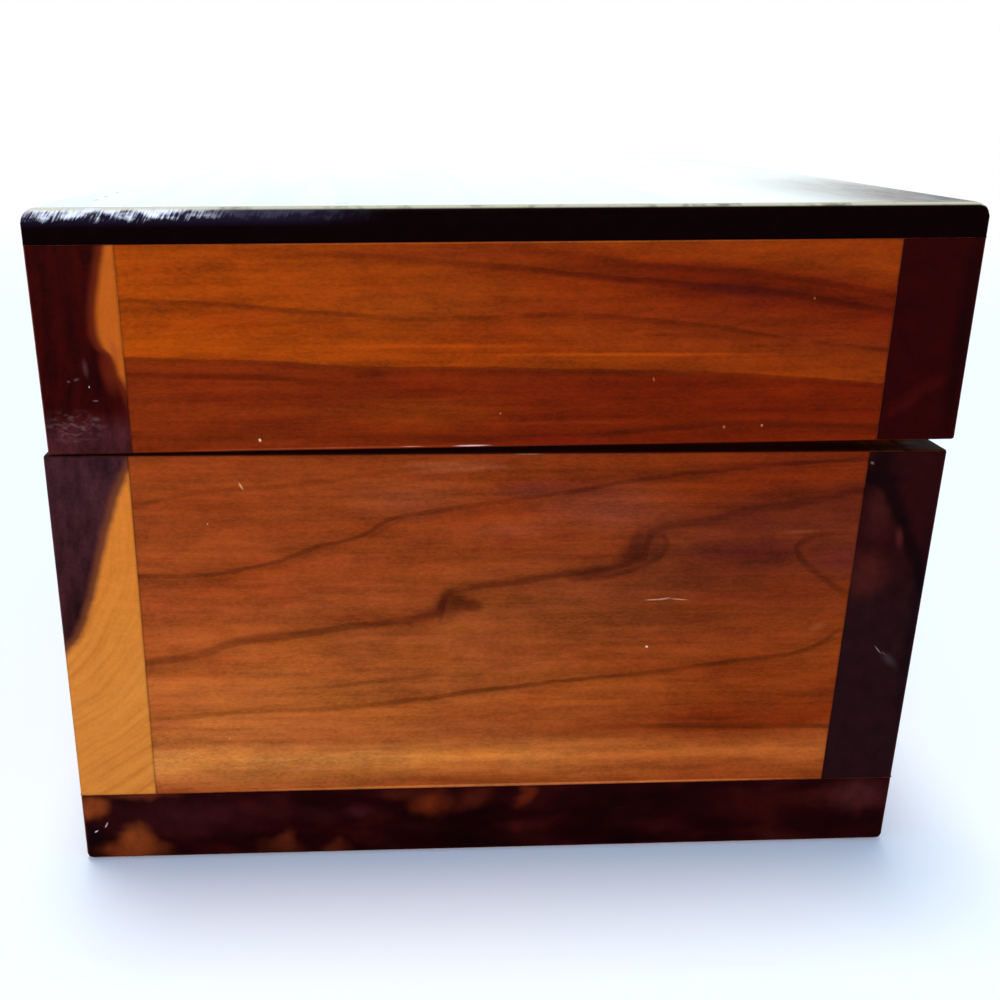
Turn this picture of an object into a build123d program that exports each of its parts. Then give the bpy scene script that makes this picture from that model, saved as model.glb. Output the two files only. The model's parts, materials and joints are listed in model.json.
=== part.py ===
from build123d import *
import math
import os

os.makedirs("parts", exist_ok=True)

# A cedar recipe card box, in millimetres. +X is its right side, -Y its front, +Z up, and the
# origin is the centre of its underside. Body and lid are two boxes of plain boards, nailed
# through the front and back boards. Two brass butt hinges lie between their back rims, with no
# mortise, so the closed lid leans forward a little and rests its front rim on the body's.

# Boards
BOX_WIDTH = 158.75        # left to right
BOX_DEPTH = 139.7         # front to back
STOCK = 12.7              # thickness of the front, back and side boards
BASE_THICKNESS = 13.0
TOP_THICKNESS = 5.0
BODY_HEIGHT = 72.6        # underside to the body's rim
LID_FRAME_HEIGHT = 30.9   # the lid's rim to the underside of its top board
LID_SETBACK = 0.8         # how far the lid sits behind the body
FRONT_GAP = 0.1           # between the two rims at the front, with the lid closed

# Sanded edges
CORNER_ROUND = 0.9        # upright corners
BASE_ROUND = 1.2          # round the underside
RIM_ROUND = 0.5           # outside of both rims
RIM_BREAK = 0.4           # inside of both rims
TOP_ROUND = 2.0           # round the top board

# Butt hinges
HINGE_INSET = 35.0        # side of the box to the middle of a hinge
HINGE_LENGTH = 25.4
LEAF_REACH = 12.0         # pin axis to a leaf's far edge
LEAF_THICKNESS = 0.75
LEAF_CORNER = 1.2
LEAF_SPACE = 0.25         # between the two closed leaves
BARREL_RADIUS = 1.55
BARREL_CLEARANCE = 0.15   # barrel to the lid's back face
KNUCKLES = 5              # of which the body leaf has the outer ones
KNUCKLE_SPACE = 0.2       # between neighbouring knuckles
NOTCH_CLEARANCE = 0.3     # round the other leaf's knuckles
PIN_RADIUS = 0.8
PIN_CLEARANCE = 0.05      # in the knuckles that turn on the pin
PIN_END = 0.3             # how far a pin stands out of its barrel

# Hinge screws
SCREW_SPACING = 15.0
SCREW_FROM_PIN = 7.1
SCREW_LENGTH = 9.0
SCREW_HEAD_RADIUS = 2.1
SCREW_RADIUS = 1.1
SLOT_WIDTH = 0.5
SLOT_DEPTH = 0.45

# Brads, of flat wire with a chisel point
BRAD_THICKNESS = 1.0
BRAD_WIDTH = 1.25
BRAD_HEAD_WIDTH = 2.0
BRAD_HEAD = 0.7           # height of the head
BRAD_POINT = 1.5          # length of the pointed end
WALL_BRAD = 25.0          # length of a corner or base brad
TOP_BRAD = 19.0           # length of a brad through the top board
BRAD_SINK = 1.0           # depth of the putty over a sunk head
BODY_CORNER_BRAD_COUNT = 3     # in each corner
LID_CORNER_BRAD_COUNT = 2
CORNER_BRAD_MARGIN = 9.0  # first brad of a corner to the board's edge
BRAD_SPACING_X = 45.0     # between the base or top brads along the front and back, three in each
BRAD_SPACING_Y = 50.0     # between the two along each side

# Sizes that follow
HINGE_GAP = 2 * LEAF_THICKNESS + LEAF_SPACE          # between the rims at the hinges
LID_RIM = BODY_HEIGHT + HINGE_GAP                    # of the lid held square above the body
LID_HEIGHT = LID_FRAME_HEIGHT + TOP_THICKNESS
INNER_WIDTH = BOX_WIDTH - 2 * STOCK
INNER_DEPTH = BOX_DEPTH - 2 * STOCK
PIN_Y = BOX_DEPTH / 2 + LID_SETBACK + BARREL_CLEARANCE + BARREL_RADIUS
PIN_Z = BODY_HEIGHT + HINGE_GAP / 2
HINGE_X = BOX_WIDTH / 2 - HINGE_INSET
KNUCKLE_PITCH = (HINGE_LENGTH + KNUCKLE_SPACE) / KNUCKLES
KNUCKLE_LENGTH = KNUCKLE_PITCH - KNUCKLE_SPACE
SIDES = {"left": -1, "right": 1}


def closing_angle():
    """Degrees that the square lid turns about the pins until its front rim is FRONT_GAP above."""
    reach = PIN_Y - (LID_SETBACK - BOX_DEPTH / 2)
    rise = HINGE_GAP / 2
    tilt = math.atan2(rise, reach) + math.asin((rise - FRONT_GAP) / math.hypot(reach, rise))
    return math.degrees(tilt)


def close_lid(shape):
    """A piece of the square lid, turned about the pins to where it lies with the lid closed."""
    return shape.rotate(Axis((0, PIN_Y, PIN_Z), (1, 0, 0)), closing_angle())


# ---------------------------------------------------------------------------------- boards

def slab(x_range, y_range, z_range):
    """A block between the given limits."""
    sizes = [high - low for low, high in (x_range, y_range, z_range)]
    corner = Location((x_range[0], y_range[0], z_range[0]))
    return corner * Box(*sizes, align=Align.MIN)


def rounded_profile(width, height, low_round, high_round):
    """A rectangle standing on its bottom middle, with its two lower and two upper corners round."""
    profile = Rectangle(width, height, align=(Align.CENTER, Align.MIN))
    profile = fillet(profile.vertices().group_by(Axis.Y)[0], low_round)
    return fillet(profile.vertices().group_by(Axis.Y)[-1], high_round)


def sanded_block(height, low_round, high_round):
    """A block as wide and deep as the box, on z = 0, with its outer edges rounded over."""
    front = rounded_profile(BOX_WIDTH, height, low_round, high_round)
    side = rounded_profile(BOX_DEPTH, height, low_round, high_round)
    plan = RectangleRounded(BOX_WIDTH, BOX_DEPTH, CORNER_ROUND)
    block = extrude(Plane.XZ * front, amount=BOX_DEPTH / 2, both=True)
    block = block & extrude(Plane.YZ * side, amount=BOX_WIDTH / 2, both=True)
    return block & extrude(plan, amount=height)


def frame_boards(low, high):
    """Four wall boards between two heights: the side boards stand between front and back."""
    half_width, half_depth = BOX_WIDTH / 2, BOX_DEPTH / 2
    inner_width, inner_depth = INNER_WIDTH / 2, INNER_DEPTH / 2
    span = (low, high)
    return {
        "front_board": slab((-half_width, half_width), (-half_depth, -inner_depth), span),
        "back_board": slab((-half_width, half_width), (inner_depth, half_depth), span),
        "left_board": slab((-half_width, -inner_width), (-inner_depth, inner_depth), span),
        "right_board": slab((inner_width, half_width), (-inner_depth, inner_depth), span),
    }


def rim_break(direction):
    """What takes the sharp inner edge off a rim at z = 0; direction is the way the rim faces."""
    mouth = Rectangle(INNER_WIDTH, INNER_DEPTH)
    cut = extrude(mouth, amount=RIM_BREAK, taper=-45)
    cut = Location((0, 0, -RIM_BREAK)) * cut
    return cut if direction > 0 else mirror(cut, about=Plane.XY)


def flat_board(z_range):
    """A board across the whole box: the base or the lid's top."""
    return slab((-BOX_WIDTH / 2, BOX_WIDTH / 2), (-BOX_DEPTH / 2, BOX_DEPTH / 2), z_range)


# ---------------------------------------------------------------------------------- fasteners

def brad(length):
    """A brad pointing down, wide along Y, with the top of its head at the origin."""
    right_side = [
        (BRAD_HEAD_WIDTH / 2, 0),
        (BRAD_HEAD_WIDTH / 2, -BRAD_HEAD),
        (BRAD_WIDTH / 2, -BRAD_HEAD),
        (BRAD_WIDTH / 2, BRAD_POINT - length),
    ]
    left_side = [(-y, z) for y, z in reversed(right_side)]
    outline = Polyline(*right_side, (0, -length), *left_side, close=True)
    return extrude(Plane.YZ * make_face(outline), amount=BRAD_THICKNESS / 2, both=True)


def putty_plug():
    """The filling above a sunk brad's head, whose underside is at the origin."""
    return Box(BRAD_THICKNESS, BRAD_HEAD_WIDTH, BRAD_SINK,
               align=(Align.CENTER, Align.CENTER, Align.MIN))


def screw_blank():
    """A countersunk wood screw pointing down without its slot, its head's face at the origin."""
    cone = SCREW_HEAD_RADIUS - SCREW_RADIUS
    profile = Polyline(
        (0, 0),
        (SCREW_HEAD_RADIUS, 0),
        (SCREW_RADIUS, -cone),
        (SCREW_RADIUS, -SCREW_LENGTH),
        (0, -SCREW_LENGTH),
        close=True,
    )
    return revolve(Plane.XZ * make_face(profile), Axis.Z)


def screw():
    """The same screw with its slot."""
    slot = Box(2 * SCREW_HEAD_RADIUS, SLOT_WIDTH, SLOT_DEPTH,
               align=(Align.CENTER, Align.CENTER, Align.MAX))
    return screw_blank() - slot


def corner_brad_places(low, high, count):
    """Where corner brads enter the front and back boards: heads just under the putty."""
    places = []
    step = (high - low - 2 * CORNER_BRAD_MARGIN) / (count - 1)
    for face in (-1, 1):
        for side in SIDES.values():
            for index in range(count):
                x = side * (BOX_WIDTH - STOCK) / 2
                y = face * (BOX_DEPTH / 2 - BRAD_SINK)
                z = low + CORNER_BRAD_MARGIN + index * step
                places.append(Location((x, y, z), (-90 * face, 0, 0)))
    return places


def flat_brad_places():
    """Where brads pass a flat board into the walls: their x and y."""
    rows = [(index * BRAD_SPACING_X, face * (BOX_DEPTH - STOCK) / 2)
            for face in (-1, 1) for index in (-1, 0, 1)]
    sides = [(side * (BOX_WIDTH - STOCK) / 2, end * BRAD_SPACING_Y / 2)
             for side in SIDES.values() for end in (-1, 1)]
    return rows + sides


# ---------------------------------------------------------------------------------- hinges
# A hinge lies with its pin on the X axis through the origin and its leaves towards -Y.

def knuckle_start(index):
    """The x where a knuckle begins."""
    return -HINGE_LENGTH / 2 + index * KNUCKLE_PITCH


def along_x(radius, start, length):
    """A round bar on the X axis."""
    bar = Cylinder(radius, length, align=(Align.CENTER, Align.CENTER, Align.MIN))
    return Location((start, 0, 0), (0, 90, 0)) * bar


def screw_places(side_up):
    """The two screws of a leaf: pointing down on the body leaf, and up on the lid's."""
    turn = 180 if side_up > 0 else 0
    face = side_up * LEAF_SPACE / 2
    return [Location((end * SCREW_SPACING / 2, -SCREW_FROM_PIN, face), (turn, 0, 0))
            for end in (-1, 1)]


def leaf(side_up, own, bore):
    """A leaf below (-1) or above (1) the pin, with the knuckles whose numbers are in own."""
    plate = Box(HINGE_LENGTH, LEAF_REACH, LEAF_THICKNESS,
                align=(Align.CENTER, Align.MAX, Align.CENTER))
    far_corners = plate.edges().filter_by(Axis.Z).group_by(Axis.Y)[0]
    plate = fillet(far_corners, LEAF_CORNER)
    plate = Location((0, 0, side_up * (LEAF_SPACE + LEAF_THICKNESS) / 2)) * plate
    reach = BARREL_RADIUS + NOTCH_CLEARANCE
    for index in range(KNUCKLES):
        if index not in own:
            notch = Box(KNUCKLE_LENGTH + 2 * KNUCKLE_SPACE, 2 * reach, 2 * reach)
            middle = knuckle_start(index) + KNUCKLE_LENGTH / 2
            plate = plate - Location((middle, 0, 0)) * notch
    for index in own:
        plate = plate + along_x(BARREL_RADIUS, knuckle_start(index), KNUCKLE_LENGTH)
    plate = plate - along_x(bore, -HINGE_LENGTH / 2, HINGE_LENGTH)
    return plate - [place * screw_blank() for place in screw_places(side_up)]


def hinge_pin():
    """The pin, which stands a little out of both ends of the barrel."""
    return along_x(PIN_RADIUS, -HINGE_LENGTH / 2 - PIN_END, HINGE_LENGTH + 2 * PIN_END)


def save(name, shape):
    """One piece, or a group of alike pieces, as one STEP file."""
    solids = shape if isinstance(shape, list) else shape.solids()
    whole = solids[0] if len(solids) == 1 else Compound(children=list(solids))
    export_step(whole, f"parts/{name}.step")


# ---------------------------------------------------------------------------------- body

body_corner = corner_brad_places(BASE_THICKNESS, BODY_HEIGHT, BODY_CORNER_BRAD_COUNT)
body_corner_brads = [place * brad(WALL_BRAD) for place in body_corner]
body_putty = [place * putty_plug() for place in body_corner]
base_brads = [Location((x, y, 0), (180, 0, 0)) * brad(WALL_BRAD) for x, y in flat_brad_places()]
hinge_places = {name: Location((side * HINGE_X, PIN_Y, PIN_Z)) for name, side in SIDES.items()}
body_screws = {name: [hinge * place * screw() for place in screw_places(-1)]
               for name, hinge in hinge_places.items()}
body_screw_holes = [hinge * place * screw_blank()
                    for hinge in hinge_places.values() for place in screw_places(-1)]

body_form = sanded_block(BODY_HEIGHT, BASE_ROUND, RIM_ROUND)
body_cuts = body_corner_brads + body_putty + base_brads + body_screw_holes
body_mouth = Location((0, 0, BODY_HEIGHT)) * rim_break(1)

save("base_board", (flat_board((0, BASE_THICKNESS)) & body_form) - base_brads)
for name, board in frame_boards(BASE_THICKNESS, BODY_HEIGHT).items():
    save(f"body_{name}", (board & body_form) - body_mouth - body_cuts)
save("body_corner_brads", body_corner_brads)
save("body_nail_putty", body_putty)
save("base_brads", base_brads)

# ---------------------------------------------------------------------------------- lid
# The lid's pieces are made from its rim at z = 0 up, set square above the body, then closed.

lid_corner = corner_brad_places(0, LID_FRAME_HEIGHT, LID_CORNER_BRAD_COUNT)
lid_top = [Location((x, y, LID_HEIGHT - BRAD_SINK)) for x, y in flat_brad_places()]
lid_corner_brads = [place * brad(WALL_BRAD) for place in lid_corner]
lid_top_brads = [place * brad(TOP_BRAD) for place in lid_top]
lid_putty = [place * putty_plug() for place in lid_corner + lid_top]
lid_place = Location((0, LID_SETBACK, LID_RIM))
lid_screw_holes = [lid_place.inverse() * hinge * place * screw_blank()
                   for hinge in hinge_places.values() for place in screw_places(1)]

lid_form = sanded_block(LID_HEIGHT, RIM_ROUND, TOP_ROUND)
lid_cuts = lid_corner_brads + lid_top_brads + lid_putty + lid_screw_holes


def save_lid(name, shape):
    """A piece or a group of the lid, closed on the body."""
    if isinstance(shape, list):
        save(name, [close_lid(lid_place * piece) for piece in shape])
    else:
        save(name, close_lid(lid_place * shape))


save_lid("lid_top_board", (flat_board((LID_FRAME_HEIGHT, LID_HEIGHT)) & lid_form) - lid_cuts)
for name, board in frame_boards(0, LID_FRAME_HEIGHT).items():
    save_lid(f"lid_{name}", (board & lid_form) - rim_break(-1) - lid_cuts)
save_lid("lid_corner_brads", lid_corner_brads)
save_lid("lid_top_brads", lid_top_brads)
save_lid("lid_nail_putty", lid_putty)

# ---------------------------------------------------------------------------------- both hinges

body_knuckles = range(0, KNUCKLES, 2)
lid_knuckles = range(1, KNUCKLES, 2)
body_leaf = leaf(-1, body_knuckles, PIN_RADIUS)
lid_leaf = leaf(1, lid_knuckles, PIN_RADIUS + PIN_CLEARANCE)
for name, hinge in hinge_places.items():
    save(f"{name}_hinge_body_leaf", hinge * body_leaf)
    save(f"{name}_hinge_pin", hinge * hinge_pin())
    save(f"{name}_hinge_body_screws", body_screws[name])
    save(f"{name}_hinge_lid_leaf", close_lid(hinge * lid_leaf))
    save(f"{name}_hinge_lid_screws",
         [close_lid(hinge * place * screw()) for place in screw_places(1)])
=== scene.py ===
# %% [markdown]
# # A varnished cedar recipe card box
# The real object is a small box for 3 by 5 inch cards. Ten plain cedar boards are nailed into a
# body and a lid, two brass butt hinges join them at the back, and everything outside is varnished.
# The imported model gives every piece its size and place, so we start by loading it, and we only add
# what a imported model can't hold: softened edges, chips, wood, varnish, brass and light.

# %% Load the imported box
import functools
import json
import math
import random
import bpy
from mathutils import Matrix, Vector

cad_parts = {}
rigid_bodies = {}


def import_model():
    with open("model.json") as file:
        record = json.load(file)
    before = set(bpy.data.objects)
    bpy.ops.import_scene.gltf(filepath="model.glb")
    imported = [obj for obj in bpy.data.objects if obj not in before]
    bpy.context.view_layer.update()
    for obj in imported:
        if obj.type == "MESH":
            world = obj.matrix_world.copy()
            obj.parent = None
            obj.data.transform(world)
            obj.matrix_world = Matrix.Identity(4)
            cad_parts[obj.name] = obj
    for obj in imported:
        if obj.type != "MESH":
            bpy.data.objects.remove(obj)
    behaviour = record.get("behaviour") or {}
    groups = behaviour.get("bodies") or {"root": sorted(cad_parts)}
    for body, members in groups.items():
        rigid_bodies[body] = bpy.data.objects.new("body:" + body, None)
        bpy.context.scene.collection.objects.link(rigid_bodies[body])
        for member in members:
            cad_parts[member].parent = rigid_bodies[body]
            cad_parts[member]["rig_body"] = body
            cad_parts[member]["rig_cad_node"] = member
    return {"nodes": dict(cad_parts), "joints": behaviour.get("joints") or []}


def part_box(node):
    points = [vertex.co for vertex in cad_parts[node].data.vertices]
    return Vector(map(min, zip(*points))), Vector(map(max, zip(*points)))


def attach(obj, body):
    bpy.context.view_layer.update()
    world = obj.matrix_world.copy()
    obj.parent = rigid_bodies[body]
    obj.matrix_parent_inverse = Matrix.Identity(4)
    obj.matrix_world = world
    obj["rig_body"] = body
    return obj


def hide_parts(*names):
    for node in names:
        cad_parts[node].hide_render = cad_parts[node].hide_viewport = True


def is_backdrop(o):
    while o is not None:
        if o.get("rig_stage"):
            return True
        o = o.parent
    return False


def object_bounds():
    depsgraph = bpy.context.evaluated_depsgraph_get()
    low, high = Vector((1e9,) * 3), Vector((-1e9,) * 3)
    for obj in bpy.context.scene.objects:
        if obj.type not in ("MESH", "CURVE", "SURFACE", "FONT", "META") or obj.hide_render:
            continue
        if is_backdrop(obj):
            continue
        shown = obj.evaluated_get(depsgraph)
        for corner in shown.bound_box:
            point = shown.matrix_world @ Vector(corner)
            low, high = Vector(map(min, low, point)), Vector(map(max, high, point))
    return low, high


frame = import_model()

from types import SimpleNamespace

import bpy
from mathutils import Matrix, Vector

cad_low, cad_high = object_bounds()
print("box as packed, mm:", [round(1000 * side, 1) for side in cad_high - cad_low])

# %% [markdown]
# ## Sizes
# Blender works in metres here and a woodworker thinks in millimetres, so lengths are written as a
# number times MM. The boards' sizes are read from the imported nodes. The rounded edges can't be
# read from a box, so they are named here, with the same values as in the part's own source.

# %% Sizes a maker would name
MM = 0.001
CORNER_ROUND = 0.9 * MM      # upright corners
BASE_ROUND = 1.2 * MM        # round the underside
RIM_ROUND = 0.5 * MM         # outside of both rims
RIM_BREAK = 0.4 * MM         # inside of both rims
TOP_ROUND = 2.0 * MM         # round the top board
JOINT_BREAK = 0.12 * MM      # where sandpaper just softened a joint
LID_SETBACK = 0.8 * MM
LID_FRAME_HEIGHT = 30.9 * MM
TOP_THICKNESS = 5.0 * MM
FRONT_GAP = 0.1 * MM

base_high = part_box("base_board")[1]
front_low, front_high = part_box("body_front_board")
right_low, right_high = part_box("body_right_board")
print("stock, mm:", round((front_high.y - front_low.y) / MM, 2),
      " body height, mm:", round(front_high.z / MM, 2))

# %% [markdown]
# ## The lid's lean
# The hinge leaves aren't let into the wood, so they hold the lid up at the back and it leans
# forward until its front rim rests on the body. The lid is easiest to model square and then to
# turn about the hinge pins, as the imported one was. The angle follows from where the pin is.

# %% How far the closed lid leans
pin = Vector(frame["joints"][0]["pos_m"])
lid_rim_square = 2 * pin.z - front_high.z             # the rim of a lid held square above the body
rise = pin.z - front_high.z
reach = pin.y - (front_low.y + LID_SETBACK)
lean = math.atan2(rise, reach) + math.asin((rise - FRONT_GAP) / math.hypot(reach, rise))
print("the lid leans by", round(math.degrees(lean), 3), "degrees")

# %% [markdown]
# ## Camera
# A camera at about eye height of someone seated at a table, close to the box's right side. It
# looks down a little and is turned slightly off square, which is why the uprights converge
# downwards. `shift_x` moves the frame sideways without turning the camera.

# %% Set up the camera
CAMERA_PLACE = (0.2410, -0.0206, 0.1224)
TURNED_ASIDE, TIPPED_DOWN, ROLLED = 3.23, 19.49, 0.57       # degrees

camera_data = bpy.data.cameras.new("table_camera")
camera = bpy.data.objects.new("table_camera", camera_data)
bpy.context.scene.collection.objects.link(camera)
bpy.context.scene.camera = camera
camera_data.sensor_width = 36
camera_data.lens = 39.9
camera_data.shift_x = 0.07
camera.matrix_world = (
    Matrix.Translation(CAMERA_PLACE)
    @ Matrix.Rotation(math.radians(90 - TURNED_ASIDE), 4, "Z")
    @ Matrix.Rotation(math.radians(90 - TIPPED_DOWN), 4, "X")
    @ Matrix.Rotation(math.radians(ROLLED), 4, "Z"))
print("camera at", [round(value, 3) for value in camera.matrix_world.translation])

# %% [markdown]
# ## Sawing a board
# Every board starts as a cube primitive at the board's size and place. Nothing stays a sharp
# block: a real board has its outer edges sanded over, its inner rim eased, and each joint edge
# just softened. One Bevel modifier does all of these when every edge is given its own weight,
# because the modifier's width is multiplied by the weight, and where three edges of different
# roundness meet, it works out the corner. Applying it makes the shape real mesh.

# %% Helpers for one board
TOLERANCE = 0.01 * MM


def deselect_all():
    """Leave nothing selected, in object mode."""
    if bpy.context.mode != "OBJECT":
        bpy.ops.object.mode_set(mode="OBJECT")
    bpy.ops.object.select_all(action="DESELECT")


def make_active(piece):
    """Select this piece alone."""
    deselect_all()
    piece.select_set(True)
    bpy.context.view_layer.objects.active = piece


def add_block(name, low, high):
    """A cube primitive between two corners, with its place in its mesh."""
    low, high = Vector(low), Vector(high)
    deselect_all()
    bpy.ops.mesh.primitive_cube_add(size=1, location=(low + high) / 2, scale=high - low)
    block = bpy.context.object
    block.name = name
    bpy.ops.object.transform_apply(location=True, rotation=True, scale=True)
    return block


def apply_modifiers(piece):
    """Turn every modifier of a piece into mesh, in order."""
    make_active(piece)
    for modifier in list(piece.modifiers):
        bpy.ops.object.modifier_apply(modifier=modifier.name)


# %% Soften edges
def soften(board, rounds, segments=6):
    """Round a block's edges: rounds lists (radius, test), and the last test an edge passes wins."""
    widest = max(radius for radius, test in rounds)
    weights = board.data.attributes.new("bevel_weight_edge", "FLOAT", "EDGE")
    for edge in board.data.edges:
        ends = [board.data.vertices[index].co for index in edge.vertices]
        for radius, test in rounds:
            if all(test(end) for end in ends):
                weights.data[edge.index].value = radius / widest
    bevel = board.modifiers.new("sanded edges", "BEVEL")
    bevel.limit_method = "WEIGHT"
    bevel.width = widest
    bevel.segments = segments
    apply_modifiers(board)


def at(axis, place):
    """A test: is a point at this place along an axis (0 for x, 1 for y, 2 for z)?"""
    return lambda corner: abs(corner[axis] - place) < TOLERANCE


def where(*tests):
    """A test that a point passes when it passes all of these."""
    return lambda corner: all(test(corner) for test in tests)


# %% [markdown]
# ## Wall boards
# The front and back boards run the full width, so their end grain shows as the dark posts at the
# sides of the box, and the side boards stand between them. Body and lid are the same four boards
# at different heights, so one function saws both. It is told which way the rim faces, because the
# rim's outside is rounded, its inside is eased, and the joint at the other end is left crisp.

# %% Saw the walls of the body and of the square lid
OUTER_X, INNER_X = right_high.x, right_low.x
OUTER_Y, INNER_Y = -front_low.y, -front_high.y
WALLS = {   # two corners in plan, and the axis and the way that each board faces outwards
    "front": ((-OUTER_X, -OUTER_Y), (OUTER_X, -INNER_Y), 1, -1),
    "back": ((-OUTER_X, INNER_Y), (OUTER_X, OUTER_Y), 1, 1),
    "left": ((-OUTER_X, -INNER_Y), (-INNER_X, INNER_Y), 0, -1),
    "right": ((INNER_X, -INNER_Y), (OUTER_X, INNER_Y), 0, 1),
}


def wall_boards(prefix, low_z, high_z, rim_z):
    """Four walls between two heights, of which rim_z is the open end."""
    walls = {}
    for side, (start, end, axis, way) in WALLS.items():
        board = add_block(f"{prefix}_{side}_board_softened", (*start, low_z), (*end, high_z))
        outside = (OUTER_X, OUTER_Y)[axis] * way
        inside = (INNER_X, INNER_Y)[axis] * way
        rounds = [(JOINT_BREAK, where()),
                  (RIM_BREAK, where(at(2, rim_z), at(axis, inside))),
                  (RIM_ROUND, where(at(2, rim_z), at(axis, outside)))]
        if axis == 1:                               # these run to the corners of the box
            for end_x in (-OUTER_X, OUTER_X):
                rounds += [(RIM_ROUND, where(at(2, rim_z), at(0, end_x))),
                           (CORNER_ROUND, where(at(0, end_x), at(1, outside)))]
        soften(board, rounds)
        walls[side] = board
    return walls


body_walls = wall_boards("body", base_high.z, front_high.z, front_high.z)
lid_walls = wall_boards("lid", lid_rim_square, lid_rim_square + LID_FRAME_HEIGHT, lid_rim_square)
for board in [*body_walls.values(), *lid_walls.values()]:
    print(board.name, len(board.data.polygons), "faces")

# %% [markdown]
# ## Base and top
# These two lie across the whole box and cover the walls' edges. The base is as thick as the walls
# and barely rounded. The top board is thin and its upper edge is rounded the most, because hands
# and light both fall there.

# %% Saw the base and the top
def flat_board(name, low_z, high_z, open_z, open_round):
    """A board across the box whose outer edge at open_z is rounded over."""
    board = add_block(name, (-OUTER_X, -OUTER_Y, low_z), (OUTER_X, OUTER_Y, high_z))
    rounds = [(JOINT_BREAK, where()), (open_round, at(2, open_z))]
    rounds += [(CORNER_ROUND, where(at(0, x), at(1, y)))
               for x in (-OUTER_X, OUTER_X) for y in (-OUTER_Y, OUTER_Y)]
    soften(board, rounds, segments=8)
    return board


base = flat_board("base_board_softened", 0, base_high.z, 0, BASE_ROUND)
top_low = lid_rim_square + LID_FRAME_HEIGHT
top = flat_board("lid_top_board_softened", top_low, top_low + TOP_THICKNESS,
                 top_low + TOP_THICKNESS, TOP_ROUND)
print("base and top:", len(base.data.polygons), "and", len(top.data.polygons), "faces")

# %% [markdown]
# ## Closing the lid
# The square lid is set back a little and turned about the hinge pins. `transform.rotate` in edit
# mode moves the mesh and leaves the object's origin alone. Without a window it turns the other
# way and ignores the pivot setting, so it gets the pin as `center_override` and a negative angle.

# %% Turn the lid's boards about the pins
def close_on_body(board):
    """Set a square lid's board back and turn it to where it lies with the lid closed."""
    make_active(board)
    bpy.ops.object.mode_set(mode="EDIT")
    bpy.ops.mesh.select_all(action="SELECT")
    bpy.ops.transform.translate(value=(0, LID_SETBACK, 0))
    bpy.ops.transform.rotate(value=-lean, orient_axis="X", center_override=pin)
    bpy.ops.object.mode_set(mode="OBJECT")


def misfit(board, node):
    """The greatest distance between the boxes of a board and of the node that it stands for."""
    corners = [vertex.co for vertex in board.data.vertices]
    low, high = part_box(node)
    return max(max(abs(min(c[i] for c in corners) - low[i]), abs(max(c[i] for c in corners) - high[i]))
               for i in range(3))


for board in [*lid_walls.values(), top]:
    close_on_body(board)
boards = {f"body_{side}_board": board for side, board in body_walls.items()}
boards.update({f"lid_{side}_board": board for side, board in lid_walls.items()})
boards.update({"base_board": base, "lid_top_board": top})
for node, board in boards.items():
    print(f"{node}: box within {misfit(board, node) / MM:.3f} mm of the packed one")

# %% [markdown]
# ## Holes for brads, putty and screws
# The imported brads, putty plugs and hinge screws keep their place, so each board needs the hole
# that it has in the real box. A copy of such a node is loose triangles, so its doubles are merged
# before it can cut, and it is fattened by a hair, because two faces that lie exactly on each
# other confuse a Boolean. Putty is cut after the brads that it touches and is fattened a bit
# more, for the same reason.

# %% Cut the holes
HAIR = 0.01 * MM


def cutter_from(name, nodes, fatter):
    """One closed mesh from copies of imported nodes, a little fatter than they are."""
    deselect_all()
    for node in nodes:
        copy = frame["nodes"][node].copy()
        copy.data = copy.data.copy()
        copy.parent = None
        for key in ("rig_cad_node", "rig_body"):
            del copy[key]
        bpy.context.scene.collection.objects.link(copy)
        copy.select_set(True)
        bpy.context.view_layer.objects.active = copy
    bpy.ops.object.join()
    cutter = bpy.context.object
    cutter.name = name
    bpy.ops.object.mode_set(mode="EDIT")
    bpy.ops.mesh.select_all(action="SELECT")
    bpy.ops.mesh.remove_doubles(threshold=HAIR / 10)
    bpy.ops.transform.shrink_fatten(value=fatter, use_even_offset=True)
    bpy.ops.object.mode_set(mode="OBJECT")
    return cutter


def cut(board, cutter):
    """Take a cutter out of a board."""
    boolean = board.modifiers.new("cut", "BOOLEAN")
    boolean.operation = "DIFFERENCE"
    boolean.solver = "EXACT"
    boolean.object = cutter
    apply_modifiers(board)


def discard(piece):
    """Delete a helper object and its mesh."""
    mesh = piece.data
    bpy.data.objects.remove(piece)
    bpy.data.meshes.remove(mesh)


FASTENERS = {
    "body": [["body_corner_brads", "base_brads", "left_hinge_body_screws",
              "right_hinge_body_screws"], ["body_nail_putty"]],
    "lid": [["lid_corner_brads", "lid_top_brads", "left_hinge_lid_screws",
             "right_hinge_lid_screws"], ["lid_nail_putty"]],
}
for part, rounds in FASTENERS.items():
    for nodes, fatter in zip(rounds, (HAIR, 3 * HAIR)):
        cutter = cutter_from("fastener_cutter", nodes, fatter)
        for node, board in boards.items():
            if (part == "body") == (node.startswith("body") or node == "base_board"):
                before = len(board.data.polygons)
                cut(board, cutter)
                print(node, "faces:", before, "to", len(board.data.polygons))
        discard(cutter)

# %% [markdown]
# ## Chips and dents
# An old box has lost small flakes along its sharp edges. Each is a little irregular stone, an ico
# sphere that is squashed, turned and roughened with a seeded random, sunk into the edge and cut
# out. They are real geometry, so they catch the light from every side.

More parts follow.
